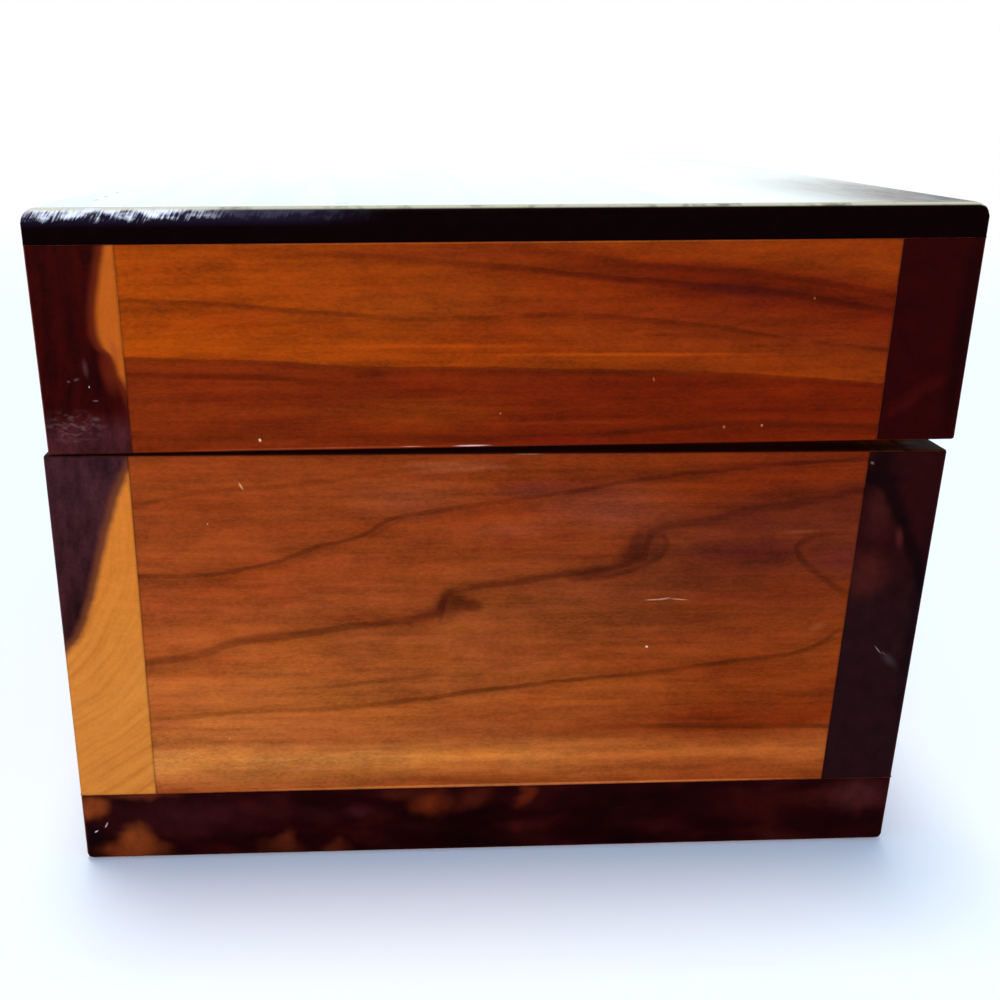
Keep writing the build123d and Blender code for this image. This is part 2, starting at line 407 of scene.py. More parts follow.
# %% Chip the edges
def chip(board, place, size, turn=0.0, seed=1):
    """Cut a rough stone of this size (in mm) out of a board at a place (in mm)."""
    deselect_all()
    bpy.ops.mesh.primitive_ico_sphere_add(subdivisions=2, radius=1, location=(0, 0, 0))
    stone = bpy.context.object
    draw = random.Random(seed)
    bpy.ops.object.mode_set(mode="EDIT")
    bpy.ops.transform.vertex_random(offset=0.25, uniform=0.4, seed=seed)
    bpy.ops.transform.resize(value=[side * MM * draw.uniform(0.9, 1.1) for side in size])
    bpy.ops.transform.rotate(value=turn, orient_axis="X", center_override=(0, 0, 0))
    bpy.ops.transform.translate(value=[value * MM for value in place])
    bpy.ops.object.mode_set(mode="OBJECT")
    cut(board, stone)
    discard(stone)


RIGHT, FRONT = OUTER_X / MM, -OUTER_Y / MM           # the two outer faces, in mm
CHIPS = [   # board, place, half sizes, turn
    ("lid_right_board", (RIGHT, FRONT + 72.4, 73.45), (0.5, 1.3, 0.28), 0.0),
    ("lid_right_board", (RIGHT, FRONT + 75.3, 73.45), (0.4, 0.8, 0.24), 0.2),
    ("body_right_board", (RIGHT, FRONT + 74.0, 72.55), (0.5, 1.1, 0.25), 0.0),
    ("body_right_board", (RIGHT, FRONT + 119.0, 72.6), (0.4, 0.6, 0.25), 0.0),
    ("body_back_board", (RIGHT, -FRONT + 0.1, 47.9), (0.6, 0.7, 1.5), 0.1),
    ("body_back_board", (RIGHT, -FRONT, 41.0), (0.3, 0.35, 0.8), 0.1),
    ("body_front_board", (RIGHT + 0.1, FRONT - 0.1, 58.0), (0.3, 0.3, 0.7), 0.1),
    ("base_board", (RIGHT, FRONT + 78.0, 0.1), (0.6, 1.3, 0.45), 0.0),
    ("base_board", (RIGHT, FRONT + 132.0, 0.3), (0.7, 1.5, 0.6), 0.2),
    ("base_board", (RIGHT + 0.1, FRONT + 2.2, 6.4), (0.35, 0.5, 0.35), 0.8),
    ("base_board", (RIGHT + 0.1, FRONT + 3.9, 7.3), (0.25, 0.25, 0.7), -0.5),
    ("lid_top_board", (22.0, FRONT + 1.0, 109.0), (0.9, 0.5, 0.35), 0.0),
    ("lid_top_board", (6.0, FRONT + 1.0, 109.0), (0.7, 0.5, 0.3), 0.0),
    ("lid_top_board", (-24.0, FRONT + 1.0, 109.0), (1.0, 0.6, 0.4), 0.0),
]
for seed, (node, place, size, turn) in enumerate(CHIPS, 1):
    chip(boards[node], place, size, turn, seed)
print(len(CHIPS), "chips cut")

# %% [markdown]
# ## Shading and belonging
# Smooth shading rounds the softened edges, but on a large flat face beside a small bevel it also
# bends the light over the whole face. A Weighted Normal modifier lets large faces decide, so flat
# stays flat. Then each board takes the place of its imported node, which is hidden, and rides on
# that node's body.

# %% Shade the boards and set them on their bodies
SMOOTH_UP_TO = math.radians(35)
for node, board in boards.items():
    make_active(board)
    bpy.ops.object.shade_smooth_by_angle(angle=SMOOTH_UP_TO)
    weighted = board.modifiers.new("flat faces stay flat", "WEIGHTED_NORMAL")
    weighted.keep_sharp = True
    apply_modifiers(board)
    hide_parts(node)
    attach(board, "lid" if node.startswith("lid") else "box_body")
print("boards:", ", ".join(board.name for board in boards.values()))

# %% [markdown]
# ## Light and floor
# A window high behind the box gives the soft shadow in front of it, a pale room fills the rest,
# and a large white card low in front lights the side that we look at. A long low strip behind
# the box is what its varnished top mirrors. All of them are kept at a plain level, at which a
# colour renders about as it is written. The shadow is bluish because only the cool room reaches
# it. Camera, glossy and transmission rays see a white room of strength 1, which gives the white
# background without adding light to the box, and far from the box the table is plain white too.
#
# Room, table and wood are all node trees, so the tools for those come first. A node's output is
# wrapped as a Reading, and sums written with readings add the nodes that work them out, so that
# the recipes further down read like sentences.

# %% Helpers for node trees
class Reading:
    """What a node hands on. Arithmetic with readings adds the nodes that work it out."""

    def __init__(self, socket):
        self.socket = socket

    def __add__(self, other):
        return calc("ADD", self, other)

    def __radd__(self, other):
        return calc("ADD", other, self)

    def __sub__(self, other):
        return calc("SUBTRACT", self, other)

    def __rsub__(self, other):
        return calc("SUBTRACT", other, self)

    def __mul__(self, other):
        return calc("MULTIPLY", self, other)

    def __truediv__(self, other):
        return calc("DIVIDE", self, other)

    def __abs__(self):
        return calc("ABSOLUTE", self)


# %% Add nodes to a tree
def wire(node_tree):
    """Turn to a node tree: from now on the helpers add their nodes to it."""
    global tree
    tree = node_tree
    return tree


def fill_in(node, sockets):
    """Set a node's sockets, by name or number, or link readings to them."""
    for key, value in sockets.items():
        socket = node.inputs[key]
        if isinstance(value, Reading):
            tree.links.new(value.socket, socket)
        elif socket.type == "RGBA" and len(value) == 3:
            socket.default_value = (*value, 1)
        else:
            socket.default_value = value


def add(kind, output, sockets, **settings):
    """A shader node with its sockets and its own settings filled in; hands on one output."""
    made = tree.nodes.new("ShaderNode" + kind)
    for name, value in settings.items():
        setattr(made, name, value)
    fill_in(made, sockets)
    return Reading(made.outputs[output])


def calc(operation, *values, clamp=False):
    """One step of arithmetic on numbers, or on places where one of the values is a place."""
    if any(isinstance(value, tuple) or isinstance(value, Reading) and value.socket.type == "VECTOR"
           for value in values):
        return add("VectorMath", "Value" if operation == "LENGTH" else "Vector",
                   dict(enumerate(values)), operation=operation)
    return add("Math", 0, dict(enumerate(values)), operation=operation, use_clamp=clamp)


def strongest(marks):
    """The greatest of several readings at each point."""
    return functools.reduce(lambda first, second: calc("MAXIMUM", first, second), marks)


def spread(value, low, high, start=0.0, end=1.0, soft=True):
    """Where a value lies between low and high, told as a number from start to end."""
    return add("MapRange", "Result", {"Value": value, "From Min": low, "From Max": high,
                                      "To Min": start, "To Max": end},
               interpolation_type="SMOOTHSTEP" if soft else "LINEAR")


def surface(kind):
    """A fact about the point being shaded: its Object place or its Normal."""
    return add("TexCoord", kind, {})


def begin_material(name):
    """A new material, which is then the tree being wired, and its shader."""
    material = bpy.data.materials.new(name)
    material.use_nodes = True
    return material, wire(material.node_tree).nodes["Principled BSDF"]


# %% Light the room
ROOM_COLOUR, ROOM_STRENGTH = (0.66, 0.86, 1.32), 0.52
WHITE = (1, 1, 1)

world = bpy.data.worlds.new("pale_room")
bpy.context.scene.world = world
world.use_nodes = True
wire(world.node_tree).nodes.clear()
seen = strongest([add("LightPath", ray, {})
                  for ray in ("Is Camera Ray", "Is Glossy Ray", "Is Transmission Ray")])
fill = add("Background", 0, {"Color": ROOM_COLOUR, "Strength": ROOM_STRENGTH})
white = add("Background", 0, {"Color": WHITE, "Strength": 1.0})
fill_in(tree.nodes.new("ShaderNodeOutputWorld"), {
    "Surface": add("MixShader", 0, {0: seen, 1: fill, 2: white})})


def hang_lamp(name, kind, energy, colour, place, target, **settings):
    """A lamp at a place, pointing at a target, with the other settings of its kind."""
    data = bpy.data.lights.new(name, kind)
    for setting, value in {"energy": energy, "color": colour, **settings}.items():
        setattr(data, setting, value)
    lamp = bpy.data.objects.new(name, data)
    bpy.context.scene.collection.objects.link(lamp)
    toward = Vector(target) - Vector(place)
    lamp.matrix_world = (Matrix.Translation(place)
                         @ toward.to_track_quat("-Z", "Y").to_matrix().to_4x4())


hang_lamp("window_behind", "SUN", 1.9, (1.0, 0.93, 0.79), (-0.21, -0.08, 1.5), (0, 0, 0),
          angle=math.radians(18))
hang_lamp("white_card_in_front", "AREA", 9.3, (1.0, 0.98, 0.97), (1.3, -0.1, 0.42), (0.08, 0, 0.05),
          shape="RECTANGLE", size=1.2, size_y=0.5)
hang_lamp("low_strip_behind", "AREA", 2.3, (0.62, 1.0, 1.03), (-1.5, 0.1, 0.25), (0, 0, 0.12),
          shape="RECTANGLE", size=2.4, size_y=0.5)
bpy.context.scene.view_settings.view_transform = "Standard"
print("lamps:", ", ".join(light.name for light in bpy.data.lights))

# %% Lay the floor
TABLE_SIZE = 12
TABLE_COLOUR = (0.88, 0.96, 1.0)
BLANK_FROM, BLANK_BEYOND = 0.3, 1.2      # metres from the box where the table turns plain white

deselect_all()
bpy.ops.mesh.primitive_plane_add(size=TABLE_SIZE, location=(0, 0, 0))
floor = bpy.context.object
floor.name = "pale_table"
floor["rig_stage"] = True
paint, shader = begin_material("pale_table")
fill_in(shader, {"Base Color": TABLE_COLOUR, "Roughness": 0.9, "Specular IOR Level": 0.1})
far_off = spread(calc("LENGTH", surface("Object")), BLANK_FROM, BLANK_BEYOND)
blank = add("Emission", 0, {"Color": WHITE, "Strength": 1.0})
fill_in(tree.nodes["Material Output"], {"Surface": add("MixShader", 0, {
    0: far_off * add("LightPath", "Is Camera Ray", {}), 1: Reading(shader.outputs["BSDF"]), 2: blank})})
floor.data.materials.append(paint)
print(floor.name, "is", TABLE_SIZE, "m across")

# %% [markdown]
# ## Small tools for drawing wood
# A material is a little calculation for every point of a surface. The point's own place, the
# Object coordinate, is the only thing that it reads here, so a pattern stays in the wood when the
# lid swings. Most of these helpers add one node each. The last makes a node group, which is a
# recipe that several materials share.

# %% Helpers for colours and places
def swatch(red, green, blue):
    """A colour written as on a paint card, 0 to 255, in the linear light that nodes work in."""
    values = [channel / 255 for channel in (red, green, blue)]
    return tuple(v / 12.92 if v <= 0.04045 else ((v + 0.055) / 1.055) ** 2.4 for v in values)


def swatches(value, stops):
    """A colour ramp through swatches; stops lists (place, red, green, blue)."""
    made = tree.nodes.new("ShaderNodeValToRGB")
    elements = made.color_ramp.elements
    while len(elements) < len(stops):
        elements.new(0.5)
    for element, (place, *paint) in zip(elements, stops):
        element.position = place
        element.color = (*swatch(*paint), 1)
    fill_in(made, {"Fac": value})
    return Reading(made.outputs["Color"])


def blend(factor, first, second, mode="MIX"):
    """Two colours mixed: the first where the factor is 0, the second where it is 1."""
    return add("Mix", 2, {0: factor, 6: first, 7: second}, data_type="RGBA", blend_type=mode)


def tone(colour, strength):
    """A colour made lighter or darker: strength 1 leaves it alone."""
    return add("VectorMath", 0, {0: colour, "Scale": strength}, operation="SCALE")


def point(x, y, z=0):
    """A place put together from three readings."""
    return add("CombineXYZ", 0, {"X": x, "Y": y, "Z": z})


def axes(place):
    """The three readings that a place is made of."""
    return [add("SeparateXYZ", axis, {"Vector": place}) for axis in "XYZ"]


def noise(place, scale, detail=2.0, roughness=0.5):
    """Noise from 0 to 1, with its own scale along each axis, in waves per millimetre."""
    return add("TexNoise", "Fac", {"Vector": place * scale, "Scale": 1.0, "Detail": detail,
                                   "Roughness": roughness})


# %% A helper for node groups
def shared_effect(build):
    """Build a node group from a function, whose arguments and answers become the group's sockets.
    What comes back places the group in a material and hands on its outputs by name."""
    group = wire(bpy.data.node_groups.new(build.__name__, "ShaderNodeTree"))
    defaults = dict(zip(build.__code__.co_varnames, build.__defaults__))
    labels = {name: name.replace("_", " ").title() for name in defaults}
    for name, value in defaults.items():
        kind = "NodeSocketVector" if isinstance(value, tuple) else "NodeSocketFloat"
        group.interface.new_socket(labels[name], in_out="INPUT", socket_type=kind).default_value = value
    given = group.nodes.new("NodeGroupInput").outputs
    answers = build(**{name: Reading(given[labels[name]]) for name in defaults})
    for label in answers:
        group.interface.new_socket(label, in_out="OUTPUT", socket_type="NodeSocketFloat")
    fill_in(group.nodes.new("NodeGroupOutput"), answers)

    def place_effect(**inputs):
        made = tree.nodes.new("ShaderNodeGroup")
        made.node_tree = group
        fill_in(made, {labels[name]: value for name, value in inputs.items()})
        return {output.name: Reading(output) for output in made.outputs}
    return place_effect


# %% [markdown]
# ## Cedar as shared effects
# Every board is the same kind of tree, so what cedar does is built once, as node groups. Growth
# rings are distances from the heart of the log, wandering a little, and each ring darkens slowly
# and then ends sharply, which is how spring wood turns into summer wood. Years differ, so a White
# Noise read once for each ring makes some lines strong and some faint. Fibres are noise that is
# stretched along the grain. A soft spot is one ellipse, for knots, patches, specks and scratches,
# and it can be turned. All lengths inside them are millimetres.

# %% Growth rings and fibres
@shared_effect
def growth_rings(grain=(0, 0, 0), heart=(0, 0, 0), ring_width=4, wander=3):
    drift = (noise(grain, (0.008, 0.03, 0.03), 2) - 0.5) * (wander * 2)
    from_heart = calc("LENGTH", (grain - heart) * (0, 1, 1))
    ring = (from_heart + drift) / ring_width + noise(grain, (0.004, 0.09, 0.09), 1) * 3
    year = calc("FRACT", ring)
    weather = add("TexWhiteNoise", "Value", {"W": calc("FLOOR", ring)}, noise_dimensions="1D")
    darkening = calc("POWER", spread(year, 0.2, 0.97), 3.0) * spread(year, 1.0, 0.97)
    return {"Ring": ring, "Summer Wood": weather * 0.14
            + darkening * spread(weather, 0, 1, 0.2, 1.0, soft=False)}


@shared_effect
def fibres(grain=(0, 0, 0)):
    kinds = {"Streaks": ((0.05, 0.8, 0.8), 5), "Hairs": ((1.5, 4.0, 4.0), 3),
             "Clouds": ((0.035, 0.14, 0.14), 3), "Mottle": ((0.22, 0.45, 0.45), 4)}
    return {kind: spread(noise(grain, scale, detail, 0.6), 0.3, 0.7)
            for kind, (scale, detail) in kinds.items()}


# %% Soft spots, the inside of the box and a board's edges
@shared_effect
def soft_spot(place=(0, 0, 0), middle=(0, 0, 0), reach=(1, 1, 1), firmness=0.3, turn=0):
    turned = add("VectorRotate", 0, {"Vector": place - middle, "Angle": turn}, rotation_type="Z_AXIS")
    return {"Mask": spread(calc("LENGTH", turned / reach), 1.0, firmness)}


@shared_effect
def bare_inside(place=(0, 0, 0)):
    x, y, z = axes(place)
    across = spread(abs(x), INNER_X / MM + 0.5, INNER_X / MM + 0.2)
    deep = spread(abs(y), INNER_Y / MM + 1.4, INNER_Y / MM + 0.9)
    above = spread(z, base_high.z / MM - 0.6, base_high.z / MM - 0.3)
    below = spread(z, top_low / MM + 0.4, top_low / MM + 0.1)
    return {"Mask": across * deep * (above * below)}


@shared_effect
def board_edge(place=(0, 0, 0), low=(0, 0, 0), high=(1, 1, 1)):
    x, y, z = axes(calc("MINIMUM", place - low, high - place))
    return {"Distance": calc("MAXIMUM", calc("MINIMUM", x, y),
                             calc("MINIMUM", calc("MAXIMUM", x, y), z))}


print("shared effects:", ", ".join(group.name for group in bpy.data.node_groups))

# %% [markdown]
# ## Where a point of wood is
# Side boards have their grain along y and the others along x, so a point's place is rearranged
# once, with the grain first. The drawn patterns are easier to think about on the side of the box,
# as a distance from its front edge and a height above the table. The lid's boards are read as if
# the lid were still square, where their edges are straight.

# %% Begin a wood material
TO_SQUARE = Matrix.Rotation(-lean, 3, "X")


def begin_wood(node, name):
    """Begin a board's material: wood.place is a point in mm, wood.square the same in the square lid,
    and wood.grain has the way of the grain first."""
    material, shader = begin_material(name)
    place = square = tone(surface("Object"), 1 / MM)
    if node.startswith("lid"):
        square = add("Mapping", 0, {"Vector": place, "Rotation": (-lean, 0, 0),
                                    "Location": (pin - TO_SQUARE @ pin) / MM})
    x, y, z = axes(square)
    grain = point(y, x, z) if "left" in node or "right" in node else square
    return SimpleNamespace(node=node, material=material, shader=shader, place=place, square=square,
                           grain=grain)


def on_side(place):
    """Millimetres from the front edge, height, and both as one flat vector."""
    _, y, height = axes(place)
    along = y + OUTER_Y / MM
    return along, height, point(along, height)


# %% Finish a wood material
VARNISH_ROUGHNESS = 0.12
BARE_SHINE = 0.005           # the wood under the varnish hardly shines by itself
FRESH_WOOD = swatch(206, 146, 104)
RIM_DIRT = swatch(20, 6, 5)
RELIEF = 0.06 * MM


def board_limits(node):
    """A board's corners in mm, with the lid's boards taken as square."""
    corners = [vertex.co for vertex in boards[node].data.vertices]
    if node.startswith("lid"):
        corners = [TO_SQUARE @ (corner - pin) + pin for corner in corners]
    return [[pick(corner[i] for corner in corners) / MM for i in range(3)] for pick in (min, max)]


def finish_wood(wood, colour, gloss=0.03):
    """Bare wood inside, varnish outside, darker along the board's edges, painted seam shade with some dirt
    on the rims, and the fibres' relief.
    """
    low, high = board_limits(wood.node)
    edge = board_edge(place=wood.square, low=low, high=high)["Distance"]
    bare = bare_inside(place=wood.square)["Mask"]
    fibre = fibres(grain=wood.grain)
    colour = blend(bare, colour, blend(0.55, tone(colour, 1.5), FRESH_WOOD))
    colour = blend(spread(edge, 0.4, 0.05) * 0.4, colour, tone(colour, 0.34))
    x, y, height = axes(wood.square)
    # Painted shade, partly dirt: the rims go dark near the outside, so that the seam between lid and body
    # reads dark.
    on_rim = strongest([spread(abs(height - rim / MM), 0.22, 0.06)
                        for rim in (front_high.z, lid_rim_square)])
    handled = strongest([spread(abs(across), half / MM - 6, half / MM - 2.5)
                         for across, half in ((x, OUTER_X), (y, OUTER_Y))])
    rubbed = on_rim * handled
    colour = blend(rubbed * 0.88, colour, RIM_DIRT)
    satin = fibre["Streaks"] * 0.12 + 0.38
    fill_in(wood.shader, {
        "Base Color": colour,
        "Roughness": spread(bare, 0, 1, satin, 0.8, soft=False),
        "Specular IOR Level": BARE_SHINE,
        "Coat Roughness": VARNISH_ROUGHNESS,
        "Coat Weight": (1 - strongest([bare, rubbed])) * gloss,
        "Normal": add("Bump", 0, {"Height": fibre["Hairs"] * 0.35 + fibre["Streaks"],
                                  "Strength": 0.25, "Distance": RELIEF})})
    boards[wood.node].data.materials.clear()
    boards[wood.node].data.materials.append(wood.material)
    print(wood.material.name, "has", len(tree.nodes), "nodes")


# %% [markdown]
# ## Drawing growth lines
# On the box's right side the rings are cut at a slant and show as long dark lines with a few
# folds, and no formula gives just those. So they are drawn, as a joiner would pencil them: each
# is a Float Curve through a few points. A line's darkness depends on the distance square to it,
# which needs the slope, so every curve is read twice, a little apart.

# %% Read drawn lines
SPAN, RISE = 140.0, 120.0       # mm that a curve's 0 to 1 stands for, along and up
STEP = 0.6                      # mm between the two readings


def drawn(along, points):
    """The height of a curve drawn through (along, height) points."""
    made = tree.nodes.new("ShaderNodeFloatCurve")
    fill_in(made, {"Value": along / SPAN})
    curve = made.mapping.curves[0]
    places = [(u / SPAN, z / RISE) for u, z in points]
    curve.points[0].location, curve.points[1].location = places[0], places[-1]
    for place in places[1:-1]:
        curve.points.new(*place)
    made.mapping.extend = "HORIZONTAL"
    made.mapping.update()
    return Reading(made.outputs["Value"]) * RISE


def above_line(along, height, points):
    """How far a point is above a drawn line, measured square to it, and the line's height."""
    here = drawn(along, points)
    slope = (drawn(along + STEP, points) - here) / STEP
    return (height - here) / calc("SQRT", slope * slope + 1), here


# %% Paint with lines and touches
def stroke(distance, above, below, strength=1.0):
    """A line with a dark middle that fades over these widths on either side."""
    return spread(distance, above, 0.2 * above) * spread(distance, -below, -0.2 * below) * strength


def touch(colour, place, spots):
    """Paint soft spots; spots lists (middle, reach, swatch, strength, firmness, degrees turned)."""
    for (u, z), (wide, high), paint, strength, firmness, *turn in spots:
        mask = soft_spot(place=place, middle=(u, z, 0), reach=(wide, high, 1), firmness=firmness,
                         turn=math.radians(-sum(turn)))["Mask"]
        colour = blend(mask * strength, colour, swatch(*paint))
    return colour


def arc(height, along, points, above, below, strength):
    """A short dark line that runs up the board: points lists (height, along)."""
    aside, _ = above_line(height, along, points)
    start, end = points[0][0], points[-1][0]
    return stroke(aside, above, below, strength) * (
        spread(height, start, start + 1.2) * spread(height, end, end - 1.2))


def wavy(along, height, amount):
    """A place on the side, pushed about a little so that nothing drawn is too neat."""
    flat = point(along, height)
    slow = noise(flat, (0.05, 0.22, 0.2), 2) * (1.6 * amount) - 0.8 * amount
    quick = noise(flat, (0.35, 0.9, 0.9), 2) * (0.7 * amount) - 0.35 * amount
    return height + (slow + quick)


# %% Colour by level and by grain
def levels(height, lines):
    """Count the drawn lines below a point, with the share of the way to the next one."""
    return sum(spread(height, lower, upper, soft=False)
               for lower, upper in zip(lines, lines[1:])) / (len(lines) - 1)


def cedar_grain(colour, grain, contrast=1.0):
    """Let the fibres and the clouds between them lighten, darken, redden and yellow a colour."""
    fibre = fibres(grain=grain)
    for scale, tint in (((0.05, 0.22, 0.22), (0.95, 0.66, 0.62)), ((0.06, 0.45, 0.45), (1.0, 1.02, 0.5)),
                        ((0.07, 0.6, 0.6), (0.9, 0.78, 1.0))):
        patches = spread(noise(grain, scale, 3), 0.45, 0.72, 0, 0.5 * contrast)
        colour = blend(patches, colour, blend(1.0, colour, tint, "MULTIPLY"))
    strength = 1.03
    for kind, swing in (("Streaks", 0.4), ("Hairs", 0.36), ("Clouds", 0.36), ("Mottle", 0.26)):
        strength = strength + (fibre[kind] * (swing * contrast) - swing * contrast / 2)
    return tone(colour, strength)


# %% [markdown]
# ## The body's right side board
# Three long dark lines rise to the rear. The middle one folds back on itself twice, where the
# board was cut through a dip in the rings, so it is drawn as two edges with darker wood between
# them. A pale golden band lies near the bottom and an arrowhead of purple wood near the rear.

# %% Lines and touches on the body's right side board
UPPER_LINE = [(0, 52.7), (13.4, 52.9), (25, 53.2), (33.4, 54.8), (40.4, 57.2), (48, 59.2), (50.4, 60.8),
              (52.4, 62), (57.5, 63), (70, 64.6), (80, 66.2), (90, 68), (100, 69.2), (126, 71.3)]
MIDDLE_LINE = [(0, 36.8), (14.1, 37.9), (20.9, 38.9), (27, 41), (37.5, 42.2), (50, 44), (58, 45.1),
               (60.4, 46.2), (61.2, 49.2), (64, 50.2), (72.5, 51.2), (82.5, 52.5), (90, 54),
               (92.8, 55.6), (93.8, 59.2), (96, 60), (103, 61.2), (109.5, 63.1), (120, 64.5), (126, 66)]
LOWER_LINE = [(0, 27.2), (13.4, 27.5), (29.1, 28.4), (41, 28.8), (53.4, 29.9), (70, 32), (80, 33.3),
              (90, 34), (100, 35.2), (110, 36.5), (120, 38), (123.5, 39.4), (126, 42)]
ARROWHEAD = [(44, 131), (48.2, 126), (51, 122.4), (54, 118.6), (56.6, 117.2), (57.8, 118.6), (58.6, 123),
             (59.4, 131)]     # height first: this line is read up the board
FOLD_EDGE = [(50.6, 84.0), (51.8, 88.0), (52.6, 90.4), (53.7, 93.0), (55.1, 95.2), (56.8, 96.2),
             (58.4, 95.8), (60.0, 94.6)]      # height first
FAINT_LINE = [(0, 61.5), (12.5, 64.5), (22.7, 66.5), (35, 67.3), (50, 69.5), (62, 70.6), (80, 71.2),
              (126, 72.2)]
SHORT_LINE = [(0, 31), (30, 32), (41, 32.6), (50, 33.8), (61, 34.9), (126, 44)]
BAND_SHADE = [(0, 24.8), (60, 24.4), (87, 24.0), (98, 24.4), (113, 24.0), (126, 23.5)]
# Eleven named woods, as kinds of cedar: the boards' ramps say which lies by which growth line.
SAPWOOD, TAN, ORANGE_BROWN, BROWN = (200, 125, 55), (175, 95, 40), (160, 80, 30), (145, 65, 25)
DARK_BROWN, RED_BROWN, PURPLE_BROWN = (125, 50, 12), (110, 35, 5), (92, 32, 14)
RUSSET, CHESTNUT, DEEP_RED, BAND_RED = (145, 57, 3), (120, 42, 3), (98, 23, 1), (82, 18, 1)
BODY_FRONT_END = [
    (0.0, *BROWN), (0.19, *SAPWOOD), (0.26, *TAN), (0.55, *ORANGE_BROWN), (0.7, *BROWN),
    (1.0, *DARK_BROWN)]
BODY_REAR_END = [
    (0.0, *DARK_BROWN), (0.19, *ORANGE_BROWN), (0.25, *RED_BROWN), (0.36, *DARK_BROWN),
    (0.56, *PURPLE_BROWN), (0.72, *RED_BROWN), (1.0, *RED_BROWN)]
BODY_PATCHES = [    # under the drawn lines: middle, reach, swatch, strength, firmness, turn
    ((57.6, 45.5), (5.8, 1.7), (92, 32, 10), 0.6, 0.1, 20),
    ((61.8, 47.4), (3.6, 3.2), (80, 30, 9), 0.8, 0.4, 20),
    ((63.8, 47.3), (3, 2.3), (86, 33, 10), 0.7, 0.3, -15),
    ((65.4, 47), (2.6, 1.6), (86, 32, 8), 0.75, 0.3, -10),
    ((93.4, 56.6), (4, 4.6), (78, 26, 14), 0.6, 0.3, -12),
    ((91, 56.4), (3, 5.4), (66, 20, 9), 0.75, 0.1, -32),
    ((84.4, 51.9), (6, 1.4), (68, 20, 9), 0.6, 0.2, 8),
    ((105, 61.4), (9, 1.6), (72, 20, 16), 0.4, 0, 10),
    ((107, 56.2), (11, 2.2), (80, 22, 19), 0.55, 0.1),
    ((113, 55.2), (7.5, 3), (78, 22, 16), 0.55, 0.1),
    ((70.3, 58.1), (3.5, 1.6), (112, 34, 16), 0.4, 0),
    ((62, 70.4), (12, 1.5), (160, 80, 44), 0.55, 0.1),
    ((86, 63.6), (17, 6.4), (116, 60, 44), 0.4, 0),
    ((55, 65.6), (16, 5), (134, 70, 42), 0.3, 0),
    ((71, 60.2), (11, 2.6), (122, 56, 36), 0.35, 0),
    ((50, 53.4), (8, 1.3), (112, 46, 10), 0.4, 0),
    ((94, 46.4), (12, 1.1), (88, 32, 8), 0.4, 0),
    ((67, 26.6), (6, 0.6), (108, 44, 10), 0.45, 0),
    ((46, 25.6), (4, 0.5), (120, 52, 14), 0.4, 0),
    ((106, 25.6), (14, 0.7), (88, 28, 8), 0.45, 0),
    ((112, 70.6), (14, 0.7), (84, 16, 4), 0.5, 0.1, 2),
    ((125.5, 54.4), (7.5, 4), (84, 26, 24), 0.6, 0.2),
    ((74, 66.6), (9, 2.2), (112, 46, 34), 0.5, 0.1, 6),
    ((105, 52), (14, 5.5), (100, 32, 12), 0.35, 0),
    ((66, 14.6), (20, 1.5), (118, 48, 7), 0.55, 0.2)]
BODY_SCRATCHES = [  # over them
    ((117.8, 59.2), (4.6, 0.5), (120, 58, 34), 0.4, 0.1, 2),
    ((122.6, 42.4), (2, 1), (150, 82, 42), 0.3, 0.1, 20),
    ((123, 44.2), (1.3, 0.5), (130, 34, 14), 0.45, 0.2),
    ((90.2, 38), (1.8, 0.3), (92, 40, 14), 0.6, 0.2),
    ((70.5, 53.6), (5, 0.8), (112, 46, 24), 0.4, 0.1),
    ((95.4, 47.68), (2.5, 0.17), (212, 140, 110), 0.7, 0.4, 2),
    ((96.6, 47.86), (1.2, 0.13), (216, 150, 120), 0.5, 0.3, 8),
    ((98.8, 47.66), (2.1, 0.14), (208, 132, 100), 0.6, 0.4, -5),
    ((94.3, 39.2), (0.3, 0.22), (232, 190, 150), 0.85, 0.5, -35),
    ((29.4, 67.6), (0.24, 0.9), (206, 140, 96), 0.6, 0.3, 28),
    ((24, 61.5), (0.18, 0.2), (216, 160, 110), 0.6, 0.4),
    ((25.5, 23.4), (0.2, 0.2), (216, 170, 110), 0.5, 0.4),
    ((73, 13.3), (60, 0.32), (206, 122, 62), 0.5, 0.5),
    # The last mark is a painted highlight along the rim's arris.
    ((73.5, 72.42), (3.2, 0.13), (176, 124, 96), 0.5, 0.2)]
PURPLE_LINE, BROWN_LINE = swatch(54, 12, 5), swatch(62, 20, 2)
print(len(BODY_PATCHES) + len(BODY_SCRATCHES), "touches on the body's side")


